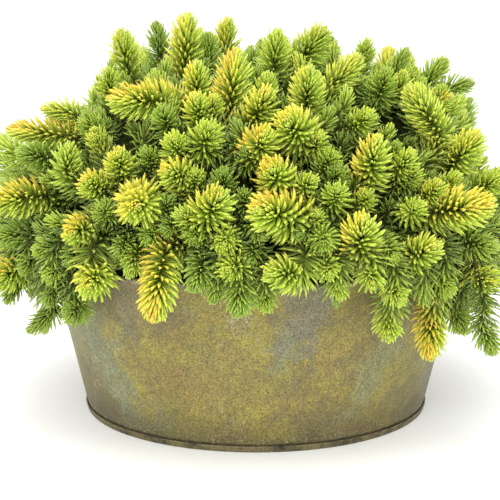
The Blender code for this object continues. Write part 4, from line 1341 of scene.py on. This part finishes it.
    def turned(
        self, graph: Graph, given: Any, downward: Any, outward: Any, distance: Any, chance: Any
    ) -> NodeSocket:
        """How a leaf stands on its shoot.

        Args:
            graph: The tree's graph.
            given: What the tree is given.
            downward: The way down the shoot.
            outward: The way that the leaf points round it.
            distance: How far down the shoot the leaf stands.
            chance: The leaf's random draw.

        Returns:
            The rotation.
        """
        upward = graph.vector("SCALE", downward, -1.0)
        span = graph.minus(given["Full Lean"], given["Tip Lean"])
        opened = graph.rest(graph.decay(distance, given["Lean Distance"]))
        lean = graph.plus(given["Tip Lean"], graph.times(span, opened))
        lean = graph.plus(lean, graph.times(graph.minus(chance, 0.5), given["Lean Scatter"]))
        rise = graph.vector("SCALE", upward, graph.math("COSINE", lean))
        aim = graph.vector("ADD", rise, graph.vector("SCALE", outward, graph.math("SINE", lean)))
        axes = {"primary_axis": "Z", "secondary_axis": "X"}
        return graph.out("FunctionNodeAxesToRotation", axes, Primary_Axis=aim, Secondary_Axis=upward)

    def stretch(self, graph: Graph, given: Any, distance: Any, chance: Any) -> NodeSocket:
        """How large a leaf is: smaller near the tip, slimmer where it is larger or greener.

        Args:
            graph: The tree's graph.
            given: What the tree is given.
            distance: How far down the shoot the leaf stands.
            chance: The leaf's random draw.

        Returns:
            The scale.
        """
        short = graph.times(graph.rest(given["Tip Size"]), graph.decay(distance, given["Size Distance"]))
        size = graph.times(graph.rest(short), graph.read("scale"))
        size = graph.times(size, graph.line(chance, given["Size Scatter"], given["Least Size"]))
        width = graph.line(graph.read("gold"), given["Gold Width"], given["Green Width"])
        slim = graph.times(graph.math("POWER", size, given["Slimming"]), width)
        return graph.out("ShaderNodeCombineXYZ", X=slim, Y=slim, Z=size)


@dataclass(frozen=True)
class StemRoute:
    """The line of a shoot: straight down its head, then in one bend to its bunch.

    A shoot that hangs below the rim goes up and over it. Pulls are shares of the straight way from the
    stem's start to the head's root, and say how far the bend's two handles lie out.
    """

    root_depth: float = 0.012
    root_shift: float = 0.3
    tip_back: float = 0.009
    rim_arch: float = 0.030
    over_share: float = 0.95
    over_lift: float = 0.3
    over_back: float = 0.1
    over_out: float = 0.35
    start_pull: float = 0.35
    root_pull: float = 0.40
    root_way: Span = (0.6, 0.4)
    head_steps: int = 5
    stem_steps: int = 9

    def points(self, shoot: Shoot, middle: Vector, mound: Mound, tub: Tub) -> list[Vector]:
        """The line from the shoot's tip down into its bunch.

        Args:
            shoot: The shoot.
            middle: The middle of its bunch's top.
            mound: The mound.
            tub: The tub.

        Returns:
            The line's points.
        """
        outward = mound.outward(middle)
        root, way = shoot.root, shoot.direction
        gap = root - middle
        start = middle - outward * self.root_depth + gap * self.root_shift
        run = (root - start).length
        if root.z < mound.base + self.rim_arch / 2:
            around = Vector((root.x, root.y, 0)).normalized()
            over = around * (tub.rim_radius + self.rim_arch) + UP * (mound.base + self.rim_arch)
            first = start.lerp(over, self.over_share)
            second = root + UP * run * self.over_lift - way * run * self.over_back
            second += around * self.rim_arch * self.over_out
        else:
            first = start + (outward + gap.normalized()).normalized() * run * self.start_pull
            along, out = self.root_way
            second = root - (way * along + outward * out).normalized() * run * self.root_pull
        tip = root + way * (shoot.length - self.tip_back)
        points = [tip.lerp(root, step / self.head_steps) for step in range(self.head_steps)]
        for step in range(self.stem_steps + 1):
            t = 1 - step / self.stem_steps
            s = 1 - t
            points.append(start * s**3 + first * 3 * s * s * t + second * 3 * s * t * t + root * t**3)
        return points


@dataclass(frozen=True)
class BunchCore:
    """The shaded old growth inside a bunch: a rough pear that narrows to its stem in the soil.

    profile has pairs of the share of the way up and the radius there.
    """

    depth: float = 0.010
    foot_reach: float = 0.117
    foot_height: float = 0.0935
    sides: int = 14
    roughness: float = 0.35
    rough_scale: float = 90
    crown: float = 0.001
    profile: tuple[Span, ...] = (
        (0.0, 0.0017),
        (0.15, 0.0019),
        (0.35, 0.010),
        (0.6, 0.022),
        (0.8, 0.029),
        (0.93, 0.024),
        (0.99, 0.010),
    )

    def foot(self, middle: Vector, mound: Mound) -> Vector:
        """Where a bunch's stem stands in the soil.

        Args:
            middle: The middle of the bunch's top.
            mound: The mound.

        Returns:
            The place.
        """
        aim = middle - mound.heart
        around = Vector((aim.x, aim.y, 0)).normalized()
        share = (1 - aim.z / aim.length) / (1 - math.cos(mound.bunch_spread))
        return around * self.foot_reach * math.sqrt(min(share, 1)) + UP * self.foot_height

    def build(self, name: str, middle: Vector, mound: Mound) -> Mesh:
        """Makes the core of a bunch.

        Args:
            name: The mesh's name.
            middle: The middle of the bunch's top.
            mound: The mound.

        Returns:
            The mesh.
        """
        foot = self.foot(middle, mound)
        top = middle - mound.outward(middle) * self.depth
        axis = (top - foot).normalized()
        side = axis.orthogonal().normalized()
        cross = axis.cross(side)
        bm = bmesh.new()
        rings = []
        for share, reach in self.profile:
            centre = foot.lerp(top, share)
            ring = []
            for step in range(self.sides):
                angle = 2 * math.pi * step / self.sides
                arm = (side * math.cos(angle) + cross * math.sin(angle)) * reach
                rough = 1 + self.roughness * noise.noise((centre + arm) * self.rough_scale)
                ring.append(bm.verts.new(centre + arm * rough))
            rings.append(ring)
        crown = bm.verts.new(top + axis * self.crown)
        skin(bm, [*rings, [crown] * self.sides])
        bm.faces.new(rings[0][::-1])
        return mesh_from(bm, name)


def lattice(count: int, spread: float) -> list[Span]:
    """Evenly spread directions within an angle of straight up.

    Args:
        count: How many there are.
        spread: The angle.

    Returns:
        Azimuth and polar angle pairs.
    """
    shares = [(index + 0.5) / count for index in range(count)]
    return [(i * GOLDEN_ANGLE, math.acos(1 - s * (1 - math.cos(spread)))) for i, s in enumerate(shares)]


def gathered(items: list[Any], places: list[Vector], middles: list[Vector]) -> list[list[Any]]:
    """Items gathered round their nearest middles.

    Args:
        items: The items.
        places: The place of each.
        middles: The middles.

    Returns:
        The items of each middle.
    """
    groups: list[list[Any]] = [[] for _ in middles]
    for item, place in zip(items, places):
        reach = [(middle - place).length for middle in middles]
        groups[reach.index(min(reach))].append(item)
    return groups


def apart(place: Vector, others: list[Vector], spacing: float) -> bool:
    """Whether a place lies farther than a spacing from all others."""
    return all((place - other).length > spacing for other in others)


@dataclass(frozen=True)
class Layer:
    """A layer of shoots that fills the mound by rule.

    tried is how many are tried within spread of straight up. jitter and lean are how widely their places
    and ways are drawn, and lift is how far the ways are raised above the rim and below it. leafy_tail is
    how far the leaves go on below the head.
    """

    seed: int
    tried: int
    spread: float
    lean: float
    jitter: float = 0.0
    lift: Span = (0.0, 0.0)
    leafy_tail: float = 0.026

    def sites(self, mound: Mound, draw: np.random.Generator) -> Iterator[tuple[Vector, Vector, Vector]]:
        """Goes over the layer's places.

        Args:
            mound: The mound.
            draw: The layer's random draws, which the caller may use between two places.

        Yields:
            The place on the surface, the way out of the mound there and the shoot's way.
        """
        for azimuth, polar in lattice(self.tried, self.spread):
            if self.jitter:
                azimuth += draw.normal(0, self.jitter)
                polar += draw.normal(0, self.jitter)
            place = mound.towards(azimuth, polar)
            outward = mound.outward(place)
            lift = self.lift[0] if place.z > mound.base else self.lift[1]
            way = outward + Vector(draw.normal(0, self.lean, 3)) + UP * lift
            yield place, outward, way.normalized()


@dataclass(frozen=True)
class NaturalLayer(Layer):
    """Full shoots wherever no head of the front calls for one. Gold and orange follow soft noises.

    scale and leaves are a start and a slope, by size and by the head's length.
    """

    seed: int = 7
    tried: int = 140
    spread: float = math.radians(104)
    lean: float = 0.30
    lift: Span = (0.35, -0.25)
    spacing: float = 0.042
    size: Span = (0.72, 1.12)
    length: float = 0.030
    scale: Span = (0.35, 0.65)
    leaves: Span = (60, 4600)
    gold_noise: float = 23
    gold_mean: float = 0.5
    gold_swing: float = 0.9
    least_gold: float = 0.05
    blush_noise: float = 31
    blush_swing: float = 1.6


@dataclass(frozen=True)
class FillerLayer(Layer):
    """Smaller and greener shoots in the gaps between the others, a little deeper in the mound. Their low
    gold is partly painted shade in the gaps.
    """

    seed: int = 12
    tried: int = 1000
    spread: float = math.radians(108)
    jitter: float = 0.02
    lean: float = 0.35
    lift: Span = (0.35, -0.35)
    spacing: float = 0.0195
    depth: Span = (0.002, 0.018)
    size: Span = (0.55, 0.85)
    length: float = 0.026
    scale: Span = (0.4, 0.6)
    gold_draw: Span = (1.3, 2.0)
    # kept low: partly painted shade in the gaps
    most_gold: float = 0.7
    leaves: int = 96


@dataclass(frozen=True)
class InnerLayer(Layer):
    """A deeper layer of short green shoots that closes the gaps between the others. Its low gold is partly
    painted shade deep in the mound.
    """

    seed: int = 16
    tried: int = 300
    spread: float = math.radians(98)
    jitter: float = 0.03
    lean: float = 0.4
    leafy_tail: float = 0.012
    length: Span = (0.016, 0.022)
    depth: Span = (0.016, 0.026)
    scale: Span = (0.75, 0.95)
    # little gold: partly painted shade deep in the mound
    gold: Span = (0.0, 0.15)
    leaves: int = 42


@dataclass(frozen=True)
class Plant:
    """The whole plant: every shoot, gathered into the frame's bunches.

    The tub is seen bare within bare_front_reach and below bare_front_height. sinking has the shares of its
    way out from the heart that a shoot is tried at. A head of front_width millimetres has leaves of
    front_scale, a start and a slope, and front_leaves is the same for their number by the head's length.
    """

    mound: Mound
    sight: Sight
    tub: Tub
    route: StemRoute = StemRoute()
    core: BunchCore = BunchCore()
    natural: NaturalLayer = NaturalLayer()
    fillers: FillerLayer = FillerLayer()
    inner: InnerLayer = InnerLayer()
    old_stations: tuple[Span, ...] = ((0.0, 0.7), (0.75, 1.0))
    bunches: int = 31
    bunch_rounds: int = 8
    even_places: int = 24
    slots: int = 4
    bare_front_reach: float = 0.110
    bare_front_height: float = 0.112
    sinking: tuple[float, ...] = (1.0, 0.95, 0.90, 0.86)
    small_sunk: float = 0.004
    least_outward: float = 0.12
    front_width: float = 28
    front_scale: Span = (0.38, 0.68)
    front_leaves: Span = (60, 5600)
    front_tail: float = 0.026
    rim_clearance: float = 0.010

    def clear_of_rim(self, centre: Vector, direction: Vector, length: float) -> Vector:
        """Moves a head that hangs below the rim outward until its root clears the tub.

        Args:
            centre: The head's middle.
            direction: Its way.
            length: Its length.

        Returns:
            The middle.
        """
        root = centre - direction * length / 2
        out = math.hypot(root.x, root.y)
        short = self.tub.rim_radius + self.rim_clearance - out
        if root.z < self.mound.base + self.rim_clearance and short > 0:
            return centre + Vector((root.x, root.y, 0)) * short / out
        return centre

    def hides_tub(self, place: Vector) -> bool:
        """Whether a place lies before the part of the tub that is seen bare."""
        return place.y < 0 and abs(place.x) < self.bare_front_reach and place.z < self.bare_front_height

    def under_edge(self, shoot: Shoot) -> Shoot | None:
        """A shoot sunk into the mound until it is seen below the plant's upper edge.

        Args:
            shoot: The shoot.

        Returns:
            The shoot, or None where it stays above the edge.
        """
        heart = self.mound.heart
        for share in self.sinking:
            sunk = replace(shoot, centre=heart + (shoot.centre - heart) * share)
            across, rise = self.sight.sees(self.mound, sunk.tip)
            if rise * 1000 <= np.interp(across * 1000, *UPPER_EDGE):
                return sunk
        return None

    def front_shoot(self, head: Head, sunk: float) -> Shoot:
        """Places one head of the front on the mound.

        Args:
            head: The head as it is seen.
            sunk: How far below the mound's surface it sits.

        Returns:
            The shoot.
        """
        _, right, upward, forward = self.sight.axes()
        centre = self.sight.on_mound(self.mound, head.across / 1000, head.rise / 1000)
        heading = math.radians(head.heading)
        flat = right * math.cos(heading) + upward * math.sin(heading)
        direction = flat * head.lay - forward * math.sqrt(1 - head.lay**2)
        outward = self.mound.outward(centre)
        if direction.dot(outward) < self.least_outward:
            direction += outward * (self.least_outward - direction.dot(outward))
        direction.normalize()
        length = head.length / 1000
        centre = self.clear_of_rim(centre, direction, length) - outward * sunk
        scale = self.front_scale[0] + self.front_scale[1] * head.width / self.front_width
        leaves = round(self.front_leaves[0] + self.front_leaves[1] * length)
        leafy = length + self.front_tail
        return Shoot(centre, direction, length, scale, head.gold, head.blush, leafy, leaves)

    def main_shoots(self) -> list[Shoot]:
        """The shoots that the frame's solids have too.

        Returns:
            The front's heads, then the natural ones.
        """
        rule = self.natural
        draw = np.random.default_rng(rule.seed)
        shoots = [self.front_shoot(head, 0.0) for head in HEADS]
        for place, _, direction in rule.sites(self.mound, draw):
            size = draw.uniform(*rule.size)
            length = rule.length * size
            centre = self.clear_of_rim(place, direction, length)
            gold = rule.gold_mean + noise.noise(centre * rule.gold_noise) * rule.gold_swing
            gold = min(max(gold, rule.least_gold), 1.0)
            blush = max(noise.noise(centre * rule.blush_noise + UP) * rule.blush_swing, 0.0)
            scale = rule.scale[0] + rule.scale[1] * size
            leaves = round(rule.leaves[0] + rule.leaves[1] * length)
            leafy = length + rule.leafy_tail
            shoot = self.under_edge(Shoot(centre, direction, length, scale, gold, blush, leafy, leaves))
            if shoot is None or self.hides_tub(shoot.centre):
                continue
            if apart(shoot.centre, [other.centre for other in shoots], rule.spacing):
                shoots.append(shoot)
        return shoots

    def filler_shoots(self, shoots: list[Shoot]) -> list[Shoot]:
        """Fills the gaps between shoots.

        Args:
            shoots: The shoots so far.

        Returns:
            The fillers.
        """
        rule = self.fillers
        draw = np.random.default_rng(rule.seed)
        placed = [shoot.centre for shoot in shoots]
        fillers = []
        for place, outward, direction in rule.sites(self.mound, draw):
            depth = draw.uniform(*rule.depth)
            size = draw.uniform(*rule.size)
            gold = draw.beta(*rule.gold_draw) * rule.most_gold
            if self.hides_tub(place) or not apart(place, placed, rule.spacing):
                continue
            placed.append(place)
            length = rule.length * size
            centre = self.clear_of_rim(place, direction, length) - outward * depth
            scale = rule.scale[0] + rule.scale[1] * size
            leafy = length + rule.leafy_tail
            shoot = Shoot(centre, direction, length, scale, gold, 0.0, leafy, rule.leaves)
            fillers.append(self.under_edge(shoot))
        return [shoot for shoot in fillers if shoot]

    def inner_shoots(self) -> list[Shoot]:
        """Closes the depth of the mound.

        Returns:
            The inner shoots.
        """
        rule = self.inner
        draw = np.random.default_rng(rule.seed)
        inner = []
        for place, outward, direction in rule.sites(self.mound, draw):
            spans = (rule.length, rule.depth, rule.scale, rule.gold)
            length, depth, scale, gold = (draw.uniform(*span) for span in spans)
            if self.hides_tub(place):
                continue
            centre, leafy = place - outward * depth, length + rule.leafy_tail
            shoot = Shoot(centre, direction, length, scale, gold, 0.0, leafy, rule.leaves)
            inner.append(self.under_edge(shoot))
        return [shoot for shoot in inner if shoot]

    def bunch_middles(self, shoots: list[Shoot]) -> list[Vector]:
        """The middles of the frame's bunches: a lattice that moves to the middle of its nearest shoots.

        Args:
            shoots: The shoots that the frame has too.

        Returns:
            The middles.
        """
        mound = self.mound
        middles, even = (
            [mound.bunch_middle(mound.towards(*way)) for way in lattice(count, mound.bunch_spread)]
            for count in (self.bunches, self.even_places)
        )
        wanted = [mound.bunch_middle(shoot.root) for shoot in shoots] + even
        for _ in range(self.bunch_rounds):
            groups = gathered(wanted, wanted, middles)
            middles = [mound.bunch_middle(sum(group, Vector()) / len(group)) for group in groups if group]
        return middles

    def lines_mesh(self, name: str, shoots: list[Shoot], middle: Vector) -> Mesh:
        """A mesh of one line for each shoot, whose points carry the shoot's values.

        Args:
            name: The mesh's name.
            shoots: The shoots of a bunch.
            middle: The middle of the bunch's top.

        Returns:
            The mesh.
        """
        points, edges, values = [], [], []
        for shoot in shoots:
            path = self.route.points(shoot, middle, self.mound, self.tub)
            edges += [(len(points) + step, len(points) + step + 1) for step in range(len(path) - 1)]
            points += path
            values += [shoot.values] * len(path)
        mesh = bpy.data.meshes.new(name)
        mesh.from_pydata(points, edges, [])
        for index, label in enumerate(LINE_VALUES):
            layer = mesh.attributes.new(label, "FLOAT", "POINT")
            layer.data.foreach_set("value", [row[index] for row in values])
        return mesh

    def build(self, finishes: dict[str, Material]) -> None:
        """Makes one piece for each bunch by running the leaf tree over its shoots' lines.

        Args:
            finishes: The materials of the leaves, stems and cores.
        """
        shoots = self.main_shoots()
        middles = self.bunch_middles(shoots)
        shoots += [self.front_shoot(head, self.small_sunk) for head in SMALL_HEADS]
        shoots += self.filler_shoots(shoots)
        shoots += self.inner_shoots()
        LOG.info("%d shoots, %d leaves", len(shoots), sum(shoot.leaves for shoot in shoots))
        sizes = LeafTree()
        tree = sizes.build()
        patterns = {"Leaf": LeafShape(), "Old Leaf": LeafShape(stations=self.old_stations)}
        leaves = {
            name: show(f"leaf_pattern_{number}", shape.build())
            for number, (name, shape) in enumerate(patterns.items())
        }
        values = sizes.values() | {f"{name} Finish": finish for name, finish in finishes.items()} | leaves
        groups = gathered(shoots, [shoot.root for shoot in shoots], middles)
        for index, (middle, group) in enumerate(zip(middles, groups)):
            name = f"sedum_bunch_{index + 1:02d}"
            core = show(name + "_core", self.core.build(name + "_core", middle, self.mound))
            carrier = show(name + "_lines", self.lines_mesh(name + "_lines", group, middle))
            mesh = grown(carrier, tree, values | {"Core": core})
            for helper in (core, carrier):
                bpy.data.objects.remove(helper, do_unlink=True)
            mesh.name = name
            keep_inside(mesh)
            carry(show(name, mesh), f"leaves_{index % self.slots + 1}", f"leafy_bunch_{index + 1:02d}")
        for leaf in leaves.values():
            bpy.data.objects.remove(leaf, do_unlink=True)


def grown(carrier: Object, tree: NodeTree, values: dict[str, Any]) -> Mesh:
    """Runs a geometry tree over a carrier.

    Args:
        carrier: The object that holds the shoots' lines.
        tree: The tree.
        values: What goes into its inputs, by name.

    Returns:
        The plain mesh that comes out.
    """
    modifier = carrier.modifiers.new("leaves", "NODES")
    modifier.node_group = tree
    for item in tree.interface.items_tree:
        if item.item_type == "SOCKET" and item.in_out == "INPUT" and item.name in values:
            modifier[item.identifier] = values[item.name]
    bpy.context.view_layer.update()
    graph = bpy.context.evaluated_depsgraph_get()
    mesh = bpy.data.meshes.new_from_object(carrier.evaluated_get(graph), depsgraph=graph)
    carrier.modifiers.clear()
    return mesh


def keep_inside(mesh: Mesh) -> None:
    """Draws any leaf tip that passes the frame's box back to it.

    Args:
        mesh: The mesh.
    """
    places = np.empty(len(mesh.vertices) * 3)
    mesh.vertices.foreach_get("co", places)
    places = places.reshape(-1, 3)
    held = np.clip(places, np.array(FRAME_BOX[0]), np.array(FRAME_BOX[1]))
    moved = np.abs(held - places).max(axis=1) * 1000
    if moved.any():
        LOG.info("%s: %d points drawn in, by up to %.1f mm", mesh.name, (moved > 0).sum(), moved.max())
    mesh.vertices.foreach_set("co", held.ravel())


@dataclass(frozen=True)
class Softbox:
    """One square soft light that faces the mound."""

    name: str
    place: Triple
    width: float
    power: float
    target: Triple = (0, 0, 0.15)

    def hang(self) -> None:
        """Hangs the light."""
        data = bpy.data.lights.new(self.name, "AREA")
        data.size = self.width
        data.energy = self.power
        lamp = bpy.data.objects.new(self.name, data)
        lamp.location = self.place
        aim = Vector(self.target) - Vector(self.place)
        lamp.rotation_euler = aim.to_track_quat("-Z", "Y").to_euler()
        bpy.context.scene.collection.objects.link(lamp)


@dataclass(frozen=True)
class Studio:
    """The pale floor, the soft lights and the camera."""

    sight: Sight
    floor_reach: float = 14.0
    floor_squares: int = 8
    sensor: float = 36
    sky: float = 1.14
    lights: tuple[Softbox, ...] = (
        Softbox("overhead_softbox", (-0.05, -0.5, 2.2), 1.6, 23),
        Softbox("front_softbox", (-0.25, -2.4, 1.2), 1.4, 30),
    )

    def floor(self, finish: Material) -> None:
        """Makes the floor.

        Args:
            finish: Its material.
        """
        bm = bmesh.new()
        squares = self.floor_squares
        bmesh.ops.create_grid(bm, x_segments=squares, y_segments=squares, size=self.floor_reach)
        floor = show("studio_floor", mesh_from(bm, "studio_floor"), finish)
        floor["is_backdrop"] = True

    def camera(self) -> None:
        """Sets the camera where the object is seen from."""
        data = bpy.data.cameras.new("view")
        data.lens = self.sight.lens
        data.sensor_width = self.sensor
        camera = bpy.data.objects.new("view", data)
        eye, _, _, forward = self.sight.axes()
        camera.location = eye
        camera.rotation_euler = forward.to_track_quat("-Z", "Y").to_euler()
        bpy.context.scene.collection.objects.link(camera)
        bpy.context.scene.camera = camera

    def build(self, finish: Material) -> None:
        """Sets the whole studio.

        Args:
            finish: The floor's material.
        """
        self.floor(finish)
        for light in self.lights:
            light.hang()
        self.camera()
        world = bpy.data.worlds.new("studio")
        world.use_nodes = True
        background = world.node_tree.nodes["Background"]
        background.inputs["Color"].default_value = (1, 1, 1, 1)
        background.inputs["Strength"].default_value = self.sky
        scene = bpy.context.scene
        scene.world = world
        scene.view_settings.view_transform = "Standard"


def main() -> None:
    """Builds and dresses every piece, then the studio."""
    logging.basicConfig(level=logging.INFO)
    effects = Effects(Mottling().build(), Speckle().build())
    tub, mound, sight = Tub(), Mound(), Sight()
    tub.build(PatinaFinish(effects).material, FootFinish(effects).material)
    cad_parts["soil"].material_slots[0].material = SoilFinish(effects).material
    kinds = {"Leaf": LeafFinish, "Stem": StemFinish, "Core": CoreFinish}
    Plant(mound, sight, tub).build({name: kind(effects).material for name, kind in kinds.items()})
    Studio(sight).build(FloorFinish(effects).material)
    boxes = {"frame": FRAME_BOX, "visual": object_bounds()}
    {name: [list(corner) for corner in box] for name, box in boxes.items()}


if __name__ == "__main__":
    main()
